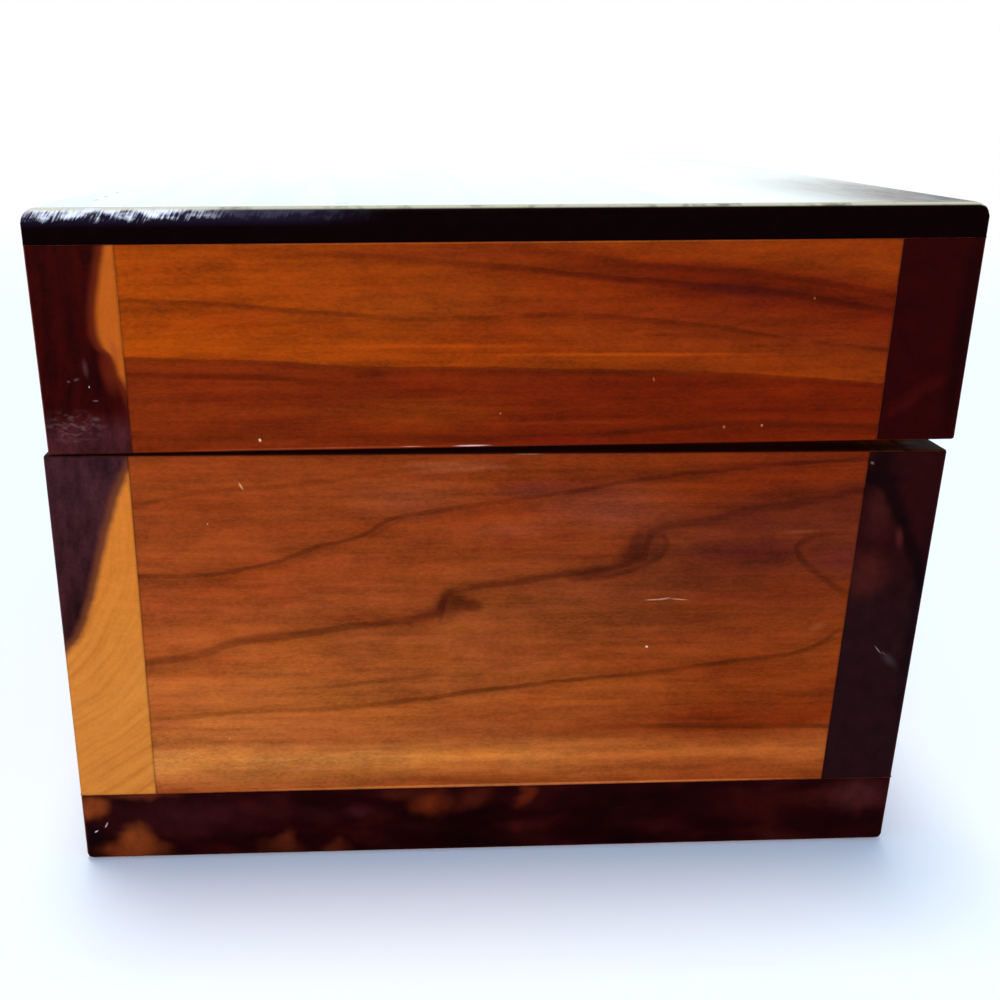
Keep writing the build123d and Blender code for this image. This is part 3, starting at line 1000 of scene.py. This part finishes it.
# %% Draw the body's right side board
def draw_body_side():
    wood = begin_wood("body_right_board", "right_side_cedar_body")
    along, height, flat = on_side(wood.place)
    bent = wavy(along, height, 0.8)
    bent_along = wavy(height, along, 0.9)
    upper, upper_height = above_line(along, bent, UPPER_LINE)
    upper_back, _ = above_line(along, bent, [(u + 2.2, z - 0.1) for u, z in UPPER_LINE])
    middle, middle_height = above_line(along, bent, MIDDLE_LINE)
    lower, lower_height = above_line(along, bent, LOWER_LINE)
    faint, short, shade = (above_line(along, bent, line)[0]
                           for line in (FAINT_LINE, SHORT_LINE, BAND_SHADE))
    arrow, _ = above_line(height, bent_along, ARROWHEAD)
    straight_up = bent - middle_height
    level = levels(bent, [13.0, 19.8, lower_height, middle_height, upper_height, 80.0])
    colour = blend(spread(along, 14, 108, soft=False), swatches(level, BODY_FRONT_END),
                   swatches(level, BODY_REAR_END))
    colour = touch(colour, point(bent_along, bent), BODY_PATCHES)
    breaks = spread(noise(flat, (0.09, 0.3, 0.3), 2), 0.3, 0.6, 0.6, 1.0)
    dark = strongest([
        stroke(upper, 0.8, 0.65, 0.58),
        stroke(middle, 1.45, 1.2, 0.58),
        spread(upper, 0.1, -0.2) * spread(upper_back, -0.2, 0.2) * 0.3,
        arc(height, bent_along, FOLD_EDGE, 0.6, 1.0, 0.5),
        stroke(faint, 0.8, 0.6, 0.26) * spread(along, 84, 60),
        stroke(upper, 3.4, 0.2, 0.2),
        stroke(upper, 0.2, 2.2, 0.2),
        stroke(straight_up, 3.2, 0.2, 0.18),
        stroke(straight_up, 0.2, 3.0, 0.22),
        stroke(arrow, 1.1, 0.6, 0.5) * (spread(height, 47, 50) * spread(height, 60, 58))]) * breaks
    between_folds = spread(along, 61, 66) * spread(along, 97, 90)
    dark = strongest([dark, stroke(middle, 0.9, 1.2, 0.66) * between_folds])
    brown = strongest([
        stroke(lower, 0.55, 0.9, 0.62) * spread(along, 26, 62, 0.55, 1.0),
        stroke(lower, 2.6, 0.2, 0.14),
        stroke(short, 0.6, 0.6, 0.36) * (spread(along, 36, 46) * spread(along, 63, 58)),
        stroke(shade, 0.9, 0.8, 0.55) * spread(along, 74, 98)]) * breaks
    colour = blend(dark, colour, PURPLE_LINE)
    colour = blend(brown, colour, BROWN_LINE)
    colour = touch(colour, flat, BODY_SCRATCHES)
    finish_wood(wood, cedar_grain(colour, wood.grain, 0.8))


draw_body_side()

# %% [markdown]
# ## The lid's right side board
# Here the rings lie almost flat: orange wood above, redder wood below a long boundary, and a
# reddish band that comes down to the rear with a dark lower edge. Short dark dashes are the same
# rings just touching the surface.

# %% Lines and touches on the lid's right side board
BAND_TOP = [(0, 104.5), (70, 103.4), (83, 102.2), (93, 101), (107.5, 99.8), (118, 98.6), (127, 97)]
BAND_EDGE = [(0, 103.6), (40, 102.8), (53, 102), (68, 101), (82, 99.5), (96, 98.4), (110, 97.1),
             (120, 95.6), (127, 94.4)]
HIGH_DASHES = [(0, 96), (18, 95.8), (30, 95.1), (42, 94.3), (57, 93.4), (76, 93.9), (88, 93.3),
               (98, 92.5), (110, 90.6), (127, 88.4)]
BOUNDARY = [(0, 87.6), (13, 87.5), (34, 87), (44, 86.3), (72, 85.8), (92, 85.2), (106, 85), (114, 84.5),
            (127, 83.4)]
LOW_LINE = [(0, 75.2), (44, 75.4), (70, 75), (85, 75.5), (98, 76.8), (108, 77.1), (127, 76.2)]
LID_FRONT_END = [
    (0.0, *RED_BROWN), (0.32, *RED_BROWN), (0.345, *RUSSET), (1.0, *RUSSET)]
LID_REAR_END = [
    (0.0, *DEEP_RED), (0.32, *DEEP_RED), (0.345, *CHESTNUT), (0.5, *RED_BROWN), (0.655, *DEEP_RED),
    (0.675, *BAND_RED), (0.83, *DEEP_RED), (0.87, *CHESTNUT), (1.0, *CHESTNUT)]
LID_PATCHES = [
    ((49.4, 85.1), (4.2, 1), (70, 18, 2), 0.65, 0.1),
    ((58, 79), (22, 4), (124, 54, 8), 0.35, 0),
    ((56, 97), (22, 7), (132, 60, 10), 0.25, 0),
    ((60, 102.6), (24, 1.1), (104, 32, 8), 0.5, 0.1),
    ((84, 87.9), (32, 0.42), (166, 66, 4), 0.5, 0.1),
    ((58, 89.2), (22, 0.5), (164, 64, 4), 0.45, 0.1),
    ((87.6, 78.3), (4.4, 0.5), (70, 12, 1), 0.55, 0.1),
    ((109, 79.2), (10, 0.5), (74, 13, 1), 0.45, 0.1),
    ((30, 75.2), (15, 0.7), (92, 28, 3), 0.5, 0.1),
    ((66, 74.6), (9, 0.6), (84, 22, 3), 0.5, 0.1),
    ((76, 77.4), (16, 0.5), (132, 44, 12), 0.4, 0.1),
    ((70, 80.2), (10, 0.5), (86, 22, 2), 0.35, 0),
    ((30, 84.6), (16, 0.7), (78, 20, 3), 0.4, 0),
    ((34, 79.4), (18, 1.2), (140, 54, 12), 0.3, 0),
    ((96, 81.6), (14, 0.8), (84, 18, 4), 0.3, 0),
    ((92.5, 90.9), (4.2, 0.45), (80, 24, 1), 0.5, 0.1),
    ((107.5, 89.2), (2.2, 0.4), (80, 22, 1), 0.45, 0.1),
    ((87, 98.9), (3.4, 0.7), (60, 8, 1), 0.6, 0.1),
    ((104, 97.3), (12, 1.2), (70, 12, 12), 0.5, 0, -6),
    ((78, 74.8), (14, 0.7), (120, 22, 8), 0.5, 0.2),
    ((32.6, 74.9), (0.26, 0.36), (226, 176, 140), 0.8, 0.4, 20),
    ((68.9, 78.9), (0.17, 0.17), (216, 150, 90), 0.6, 0.3),
    ((92, 84.1), (0.18, 0.45), (190, 110, 60), 0.5, 0.3, 20),
    ((103.5, 76.6), (0.32, 0.3), (196, 110, 70), 0.6, 0.2, 30),
    ((109.4, 76.8), (0.3, 0.3), (206, 120, 76), 0.6, 0.2, 30),
    ((115.2, 96.3), (0.26, 0.28), (190, 100, 56), 0.5, 0.2)]
# Painted highlights: pale lines where light catches the lid side's upper and lower arrises.
LID_ARRISES = [     # along the board's own straight edges
    ((70, 105.1), (62, 0.16), (186, 96, 34), 0.45, 0.4),
    ((42, 74.78), (26, 0.14), (150, 74, 44), 0.4, 0.4),
    ((55.6, 74.78), (2.2, 0.12), (196, 136, 116), 0.5, 0.2),
    ((64.8, 74.76), (3.6, 0.16), (220, 184, 174), 0.75, 0.3)]
LID_BROWN_LINE, LID_RED_LINE = swatch(58, 14, 1), swatch(50, 7, 1)
print(len(LID_PATCHES) + len(LID_ARRISES), "touches on the lid's side")


# %% Draw the lid's right side board
def draw_lid_side():
    wood = begin_wood("lid_right_board", "right_side_cedar_lid")
    along, height, flat = on_side(wood.place)
    bent = wavy(along, height, 0.7)
    lines = [above_line(along, bent, points)
             for points in (LOW_LINE, BOUNDARY, HIGH_DASHES, BAND_EDGE, BAND_TOP)]
    low, boundary, dashes, band, band_top = (distance for distance, _ in lines)
    level = levels(bent, [70.0, *(line_height for _, line_height in lines), 110.0])
    colour = blend(spread(along, 14, 98, soft=False), swatches(level, LID_FRONT_END),
                   swatches(level, LID_REAR_END))
    dashed = strongest([spread(noise(flat, (0.11, 0.25, 0.25), 2), 0.34, 0.58),
                        spread(along, 12, 18, 0, 0.8) * spread(along, 58, 52)])
    brown = strongest([
        stroke(dashes, 0.5, 0.9, 0.5) * dashed,
        stroke(dashes, 0.6, 3.5, 0.2) * dashed,
        stroke(low, 0.9, 0.8, 0.5) * spread(along, 40, 66, 0.4, 1)])
    dark = strongest([
        stroke(band, 0.6, 1.1, 0.5) * spread(along, 34, 76, 0.3, 1.0),
        stroke(band_top, 0.6, 1.1, 0.38) * spread(along, 50, 105),
        stroke(boundary, 0.25, 1.2, 0.36),
        stroke(boundary + 0.4, 0.6, 0.5, 0.42) * (spread(along, 52, 60) * spread(along, 100, 86)),
        stroke(boundary + 2.6, 0.6, 0.6, 0.42) * spread(along, 46, 36)])
    colour = blend(brown, colour, LID_BROWN_LINE)
    colour = blend(dark, colour, LID_RED_LINE)
    colour = touch(colour, flat, LID_PATCHES)
    colour = touch(colour, on_side(wood.square)[2], LID_ARRISES)
    finish_wood(wood, cedar_grain(colour, wood.grain, 0.8))


draw_lid_side()

# %% [markdown]
# ## Boards whose ends show
# The front, back, base and top boards run from side to side, so the box's sides show their ends.
# End grain drinks varnish and turns nearly black where it is heartwood, and stays golden where it
# is sapwood, the young wood under the bark. The same border between the two runs on through the
# board, so it also shows on the front, a little lighter and a little wavier further along.

# %% Helpers for boards with end grain
HEART_FACE = [(0.0, 146, 68, 28), (0.22, 138, 60, 23), (0.55, 114, 42, 15), (1.0, 78, 22, 8)]
PURPLE_FACE = [(0.0, 118, 50, 32), (0.22, 108, 42, 26), (0.55, 86, 29, 17), (1.0, 56, 15, 9)]
TOP_FACE = [(0.0, 116, 48, 26), (0.25, 104, 40, 20), (0.6, 82, 27, 13), (1.0, 54, 14, 7)]
SAP_FACE = [(0.0, 206, 136, 62), (0.3, 196, 120, 50), (1.0, 164, 88, 32)]


def long_grain(grain, heart, ring_width, stops, wander=3.0):
    """Face grain: rings about the log's heart, coloured from spring wood to summer wood."""
    rings = growth_rings(grain=grain, heart=(0, *heart), ring_width=ring_width, wander=wander)
    shade = calc("ADD", fibres(grain=grain)["Clouds"] * 0.35, rings["Summer Wood"], clamp=True)
    return cedar_grain(swatches(shade, stops), grain)


def end_texture(flat, along_scale, up_scale, swing=1.2, grit=0.4):
    """The fine unevenness of end grain, as a strength about 1."""
    coarse = noise(flat, (along_scale, up_scale, 1), 3, 0.6)
    fine = noise(flat, (2.2, 1.8, 1), 2, 0.6)
    return fine * grit + (coarse * swing + (1 - swing / 2 - grit / 2))


def fade_along(place, reach):
    """A wave in mm that grows with the distance from the right end of a board."""
    away = spread(axes(place)[0], OUTER_X / MM, -OUTER_X / MM, 0, 1, soft=False)
    return (noise(place, (0.018, 0.01, 0.01), 2) - 0.45) * (away * reach)


def finish_ends(wood, face, end):
    """A board's faces, its two sawn ends, which face along x, and varnish that has sunk into them."""
    ends = spread(abs(axes(surface("Normal"))[0]), 0.55, 0.85)
    finish_wood(wood, blend(ends, face, end), spread(ends, 0, 1, 0.22, 0.02, soft=False))


# %% [markdown]
# ## Front boards
# On the body, dark heartwood fills the upper front corner of the end and golden sapwood the rest,
# with faint rings that follow the border. On the lid the sapwood is only a narrow wedge beside
# the joint.

# %% The borders of the sapwood, and marks on the lid's post
BODY_SAP_BORDER = [(-4, 33), (0.4, 39.5), (3.1, 43.3), (5.6, 49.5), (8.1, 58.2), (10.6, 65.8), (13, 70.8),
                   (18, 78)]
LID_SAP_BORDER = [(78, 14.6), (80.6, 14.2), (83, 13.4), (85, 12.4), (87.4, 11.8), (88.8, 10.7), (90.4, 10.0),
                  (92.5, 9.8), (97.6, 10.4), (102.8, 11.6), (106, 12.4)]     # height first
LID_POST_MARKS = [
    ((9.2, 83.5), (0.9, 7.5), (26, 0, 0), 0.6, 0.1),
    ((10.9, 85.2), (1.5, 4.6), (92, 26, 8), 0.75, 0.1, 12),
    ((12.1, 88.4), (0.8, 3), (150, 62, 26), 0.5, 0.1, 12),
    ((7.7, 86), (0.6, 2), (92, 56, 58), 0.4, 0, 4),
    ((5.1, 84), (0.35, 0.25), (112, 80, 82), 0.5, 0.1),
    ((6.25, 84.3), (0.6, 0.3), (106, 72, 74), 0.5, 0, 20),
    ((8, 83.2), (0.11, 0.22), (215, 200, 190), 0.7, 0.3),
    ((8.75, 81.1), (0.6, 0.18), (128, 94, 98), 0.55, 0.1),
    ((8.5, 78.3), (1, 0.5), (104, 68, 72), 0.45, 0, -10)]


# %% Finish the front boards
def finish_front(node, lid):
    wood = begin_wood(node, f"front_cedar_{node.split('_')[0]}")
    along, height, flat = on_side(wood.place)
    wave = fade_along(wood.place, 26)
    if lid:
        into_sap = along - drawn(wavy(along, height, 1.2), LID_SAP_BORDER) - wave
    else:
        into_heart, _ = above_line(along, wavy(along, height, 1.4) + wave, BODY_SAP_BORDER)
        into_sap = into_heart * -1
    sap = spread(into_sap, -0.5, 0.7)
    heart_stops, heart_height, ring_height = ((HEART_FACE, 60, 100) if lid else (PURPLE_FACE, 30, 60))
    face = blend(sap, long_grain(wood.grain, (-96, heart_height), 5.2, heart_stops, 4.0),
                 long_grain(wood.grain, (-96, 60), 5.2, SAP_FACE, 4.0))
    from_heart = calc("LENGTH", flat - (-21, ring_height, 0))
    radius = noise(flat, (0.06, 0.06, 1), 2) * 4 + from_heart
    rings = noise(point(radius, along * 0.03), (0.85, 1.0, 1), 3, 0.7)
    bands = noise(point(radius, along * 0.1), (0.22, 1.0, 1), 2, 0.5)
    gold = swatches(rings, [(0.3, 174, 96, 33), (0.45, 192, 114, 42), (0.7, 200, 124, 50)])
    if lid:
        gold = blend(0.8, gold, swatch(164, 68, 8))
        dark = blend(spread(height, 75.5, 80), swatch(58, 21, 22), swatch(43, 2, 1))
        border_paint = swatch(110, 35, 12)
    else:
        gold = blend(spread(height, 30, 60, 0, 0.6), gold, swatch(196, 106, 30))
        dark = blend(spread(height, 40, 70), swatch(46, 17, 19), swatch(54, 24, 28))
        border_paint = swatch(124, 62, 30)
    dark = tone(tone(dark, bands * 1 + 0.5), end_texture(flat, 0.55, 0.16, 2.4, 0.9))
    gold = tone(gold, end_texture(flat, 0.3, 0.4, 0.3, 0.3))
    dark = blend(stroke(into_sap, 0.9, 1.8) * 0.6, dark, border_paint)
    end = blend(sap, dark, gold)
    if lid:
        low_corner = soft_spot(place=flat, middle=(5, 77, 0), reach=(6.5, 3.4, 1), firmness=0.1)
        worn = low_corner["Mask"] * spread(noise(flat, (0.7, 1.3, 1), 3, 0.6), 0.46, 0.66)
        end = touch(blend(worn * 0.34, end, swatch(124, 88, 84)), flat, LID_POST_MARKS)
    finish_ends(wood, face, end)


finish_front("body_front_board", False)
finish_front("lid_front_board", True)

# %% [markdown]
# ## Back boards
# Their ends are the darkest posts: deep red heartwood on the lid and purple brown on the body,
# with a mottled red patch, a few black ring lines near the top and one old scratch.

# %% Finish the back boards
BLACK_RING = [(46, 140.5), (50, 138.8), (54.5, 136.8), (61.7, 133), (67, 130), (72, 127.3),
              (76, 125)]        # height first
LID_BACK_MARKS = [
    ((133.8, 82.3), (8, 1.8), (66, 7, 4), 0.45, 0, 28),
    ((131, 79.5), (4, 1.4), (62, 8, 6), 0.45, 0, 30),
    ((138.6, 90), (2.4, 26), (12, 0, 0), 0.7, 0)]
BODY_BACK_PATCHES = [
    ((130, 62.5), (4, 7.5), (60, 20, 16), 0.6, 0),
    ((129.5, 51.5), (5.2, 6), (72, 24, 18), 0.6, 0.1, -10),
    ((129, 70), (3.4, 6), (10, 1, 2), 0.8, 0.1, -22)]
BODY_BACK_SCRATCHES = [
    ((134, 58), (1, 2.8), (88, 34, 28), 0.45, 0, 12),
    ((138.6, 42), (2, 34), (12, 2, 6), 0.6, 0),
    ((133.4, 37.9), (1.3, 0.16), (150, 122, 132), 0.6, 0.1, -50),
    ((134.5, 37.2), (0.8, 0.12), (130, 104, 112), 0.5, 0.1, -40),
    ((135.6, 36), (3, 1.1), (62, 45, 50), 0.5, 0, -46),
    ((127.7, 70.6), (0.5, 0.3), (140, 110, 90), 0.45, 0.1, -30)]


def finish_back(node, lid):
    wood = begin_wood(node, f"back_cedar_{node.split('_')[0]}")
    along, height, flat = on_side(wood.place)
    if lid:
        end = touch(swatch(38, 1, 1), flat, LID_BACK_MARKS)
    else:
        end = blend(spread(height, 44, 58), swatch(30, 9, 11), swatch(36, 5, 5))
        end = touch(end, flat, BODY_BACK_PATCHES)
        ring, _ = above_line(height, wavy(height, along, 1.2), BLACK_RING)
        end = blend(stroke(ring, 2.4, 1.5, 0.85), end, swatch(12, 1, 3))
        end = touch(end, flat, BODY_BACK_SCRATCHES)
    finish_ends(wood, long_grain(wood.grain, (104, 88 if lid else 40), 5.6, HEART_FACE, 4.0),
                tone(end, end_texture(flat, 0.35, 0.3)))


finish_back("body_back_board", False)
finish_back("lid_back_board", True)

# %% [markdown]
# ## Base board
# The base's edge is mottled: maroon heartwood with pockets of orange sapwood at the front corner
# and a few more along it, and a paler patch of worn varnish at the rear.

# %% Finish the base board
BASE_PATCHES = [
    ((18, 8.5), (22, 6), (50, 13, 15), 0.75, 0),
    ((66, 4), (18, 7), (10, 0, 1), 0.7, 0),
    ((90, 6), (12, 8), (12, 0, 1), 0.6, 0),
    ((1.6, 10.6), (4, 3), (122, 52, 20), 0.9, 0.2),
    ((9.5, 12.9), (8.5, 1.5), (96, 38, 18), 0.75, 0),
    ((8, 1.6), (8, 3.4), (116, 48, 18), 0.9, 0.15),
    ((8.6, 4.4), (3.8, 4.2), (120, 52, 20), 0.9, 0.1),
    ((33.4, 1.6), (5.6, 3), (76, 26, 10), 0.85, 0.1),
    ((34.4, 3.8), (2.6, 2.6), (80, 28, 12), 0.8, 0.1),
    ((42.6, 1.8), (2.8, 2.4), (80, 28, 9), 0.75, 0.1),
    ((46, 9.2), (3.6, 2.2), (58, 20, 22), 0.55, 0),
    ((74.5, 4.8), (6, 1.8), (62, 12, 11), 0.55, 0),
    ((19.5, 5.2), (3, 2), (52, 14, 16), 0.5, 0),
    ((2, 4.4), (2.6, 3.4), (10, 1, 2), 0.85, 0.2),
    # Painted highlights: two white glints where light catches the chips at the front corner.
    ((2.3, 6), (0.5, 0.2), (210, 210, 216), 0.8, 0.3, 40),
    ((3.8, 7), (0.2, 0.45), (190, 190, 196), 0.6, 0.3, -20),
    ((40, 8), (6, 3), (52, 14, 12), 0.5, 0),
    ((59, 10), (5.4, 4.2), (92, 30, 9), 0.85, 0),
    ((66.2, 10.8), (4.6, 3.2), (72, 20, 11), 0.75, 0),
    ((54.6, 12.2), (4.6, 2), (72, 22, 11), 0.6, 0),
    ((75, 11.2), (2, 3.8), (98, 32, 11), 0.75, 0, 8),
    ((114, 8), (13, 5), (50, 7, 5), 0.7, 0),
    ((134, 9.6), (8, 4.6), (64, 22, 21), 0.8, 0.2),
    ((134, 2.2), (8, 2.6), (34, 4, 4), 0.6, 0)]


def finish_base():
    wood = begin_wood("base_board", "base_cedar")
    along, height, flat = on_side(wood.place)
    pushed = point(along + (noise(flat, (0.14, 0.2, 1), 2) * 6 - 3),
                   height + (noise(flat, (0.2, 0.16, 1), 2) * 4 - 2))
    mottle = noise(flat, (0.07, 0.16, 1), 2, 0.5)
    end = swatches(mottle, [(0.3, 16, 0, 1), (0.5, 28, 1, 2), (0.66, 44, 7, 5), (0.8, 56, 12, 8)])
    end = tone(touch(end, pushed, BASE_PATCHES), end_texture(flat, 0.3, 0.3))
    finish_ends(wood, long_grain(wood.grain, (20, -60), 6.0, HEART_FACE, 4.0), end)


finish_base()

# %% [markdown]
# ## Top board
# The top has the thickest, glossiest varnish, and looked at from low down it mirrors the pale
# room, so it is nearly white although the wood is brown. Its edge is end grain and almost black,
# and a thin pale line along the arris is partly worn by handling and partly a painted highlight.
# The coat's weight is what breaks the gloss: it is full where the surface faces up, less in the
# cloudy right rear corner and on a few specks, and nothing on the edge. That corner is also tinted
# with a painted reflection of the bluish room. Old brush strokes show as slanted bluish white marks
# where the front corner rounds over, painted highlights above a band of painted sheen on the edge.

# %% The top's cloudy corner
BLOOM_DULLS = 0.78


def bloom(place):
    """How cloudy the top's varnish is: only towards its right rear corner."""
    mottled = spread(noise(place, (0.08, 0.3, 0.1), 4, 0.65), 0.3, 0.65, 0.85, 1.05)
    return spread(on_side(place)[0], 110, 136) * mottled * spread(axes(place)[0], 0, 76, 0.08, 1.05)


def gloss_left(haze):
    """How much of a coat still shines through the bloom."""
    return haze * -BLOOM_DULLS + 1


# %% Finish the top board
SPECKS = [(78.1, 0.8), (64.2, 1.5), (57.3, 1.4), (49.1, 1.5)]      # x and half length, in mm
PALE_ARRIS, NICK_DIRT = swatch(200, 196, 164), swatch(40, 34, 32)
BRUSHED, BRUSH_HALO, CLOUDY = swatch(224, 227, 236), swatch(74, 66, 104), swatch(48, 66, 70)


def finish_top():
    wood = begin_wood("lid_top_board", "top_cedar")
    square = wood.square
    along, height, flat = on_side(square)
    sideways = axes(square)[0]
    facing_right, _, upward = axes(surface("Normal"))
    level = spread(upward, 0.9, 0.99)
    haze = bloom(square) * level
    # Painted reflection: the cloudy corner's colour is pulled towards the bluish grey room that its varnish
    # mirrors.
    face = blend(haze * 0.5, long_grain(wood.grain, (-30, 20), 6.5, TOP_FACE, 5.0), CLOUDY)

    depth = board_limits(wood.node)[1][2] - height          # mm below the top
    slant = point(height * -0.55 + along, height)
    patchy = depth * -0.24 + noise(flat, (0.35, 0.8, 1), 2)
    hatched = spread(noise(slant, (2.9, 0.42, 1), 3, 0.6) + patchy, 0.6, 1.0)
    # Painted highlights on old brush strokes: slanted bluish white glints where the front corner rounds
    # over.
    brushed = hatched * (spread(depth, 2.2, 1.3) * (spread(along, 31, 21, 0.04, 1.0)
                                                    * spread(along, 0.6, 2.6, 0.15, 1.0)))
    right_end = spread(sideways, 0, 40) * spread(along, 54, 36)
    end = tone(swatch(9, 1, 2), end_texture(flat, 0.4, 0.4))
    # Painted sheen: a faint bluish reflection on the end grain just below the arris.
    end = blend(spread(depth, 2.9, 0.9, 0.0, 0.14) * right_end, end, BRUSH_HALO)
    end = blend(brushed * right_end, end, BRUSHED)
    colour = blend(spread(abs(facing_right), 0.08, 0.3), face, end)

    # Painted highlight, partly wear: a pale line along the rounded arris, strongest on the right side where
    # light catches it.
    arris = spread(upward, 0.76, 0.9) * spread(upward, 0.998, 0.985)
    worn = spread(noise(square, (0.25, 0.25, 0.25), 3, 0.6), 0.3, 0.5, 0.35, 0.85)
    worn = worn * spread(sideways, 60, 72, 0.25, 1.0)
    colour = blend(arris * worn, colour, PALE_ARRIS)
    front_arris = spread(along, 1.5, 0.5) * spread(upward, 0.4, 0.8)
    nicked = spread(noise(square, (0.3, 0.3, 0.3), 2), 0.54, 0.62) * front_arris
    colour = blend(nicked, colour, NICK_DIRT)
    specks = strongest([soft_spot(place=wood.place, middle=(x, -62, 109.6), reach=(long, 0.5, 3),
                                  firmness=0.2)["Mask"] for x, long in SPECKS])
    coat = level * gloss_left(haze) * (1 - strongest([nicked, specks * 0.5]))
    finish_wood(wood, colour, coat)


finish_top()

# %% [markdown]
# ## Left side boards
# The far side is never drawn line by line. The same growth rings do for it, with the log's heart
# set behind the board, so that its face is cut on the flat.

# %% Finish the left side boards
SIDE_FACE = [(0.0, 176, 96, 44), (0.25, 164, 84, 38), (0.6, 138, 60, 26), (1.0, 92, 32, 14)]
for node, heart_height in (("body_left_board", 28), ("lid_left_board", 96)):
    wood = begin_wood(node, f"left_side_cedar_{node.split('_')[0]}")
    finish_wood(wood, long_grain(wood.grain, (-20, heart_height), 5.0, SIDE_FACE, 6.0), 0.15)

# %% [markdown]
# ## Brass, steel and putty
# The hinges are pressed brass that has gone dull in the air, brighter where it rubs. The brads
# are steel, and the putty over them has dried a little darker than the wood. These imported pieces
# have the right shape already, so they only get their finish.

# %% Tarnished metal
@shared_effect
def tarnish(place=(0, 0, 0)):
    return {"Amount": spread(noise(place, (0.35, 0.35, 0.35), 4, 0.65), 0.35, 0.7),
            "Rubbed": noise(place, (0.15, 6.0, 6.0), 2, 0.5)}


def finish_metal(name, bright, dull, rough):
    """A metal with cloudy tarnish and fine lines where it was rolled."""
    material, shader = begin_material(name)
    worn = tarnish(place=tone(surface("Object"), 1 / MM))
    fill_in(shader, {
        "Base Color": blend(worn["Amount"], swatch(*bright), swatch(*dull)), "Metallic": 1.0,
        "Roughness": worn["Amount"] * 0.2 + (worn["Rubbed"] * 0.12 + (rough - 0.06)),
        "Normal": add("Bump", 0, {"Height": worn["Rubbed"], "Strength": 0.2, "Distance": 0.01 * MM})})
    return material


brass = finish_metal("old_brass", (214, 170, 92), (142, 98, 48), 0.26)
screw_brass = finish_metal("screw_brass", (206, 160, 84), (120, 84, 44), 0.32)
steel = finish_metal("brad_steel", (150, 148, 144), (92, 78, 66), 0.4)

# %% Putty, and who wears what
putty, shader = begin_material("dried_putty")
place = tone(surface("Object"), 1 / MM)
crumbs = noise(place, (3, 3, 3), 3, 0.6)
facing_up = spread(axes(surface("Normal"))[2], 0.5, 0.98, 0.1, 1.0)
fill_in(shader, {"Base Color": swatches(crumbs, [(0.35, 72, 25, 10), (0.6, 108, 43, 18)]),
                 "Roughness": crumbs * 0.3 + 0.4, "Specular IOR Level": 0.02,
                 "Coat Weight": facing_up * gloss_left(bloom(place)), "Coat Roughness": VARNISH_ROUGHNESS})

for name, piece in frame["nodes"].items():
    if "board" in name:
        continue
    finish = (putty if "putty" in name else steel if "brads" in name
              else screw_brass if "screws" in name else brass)
    piece.data.materials.clear()
    piece.data.materials.append(finish)
print("metal and putty finished")

# %% Sizes, and the end
low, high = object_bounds()
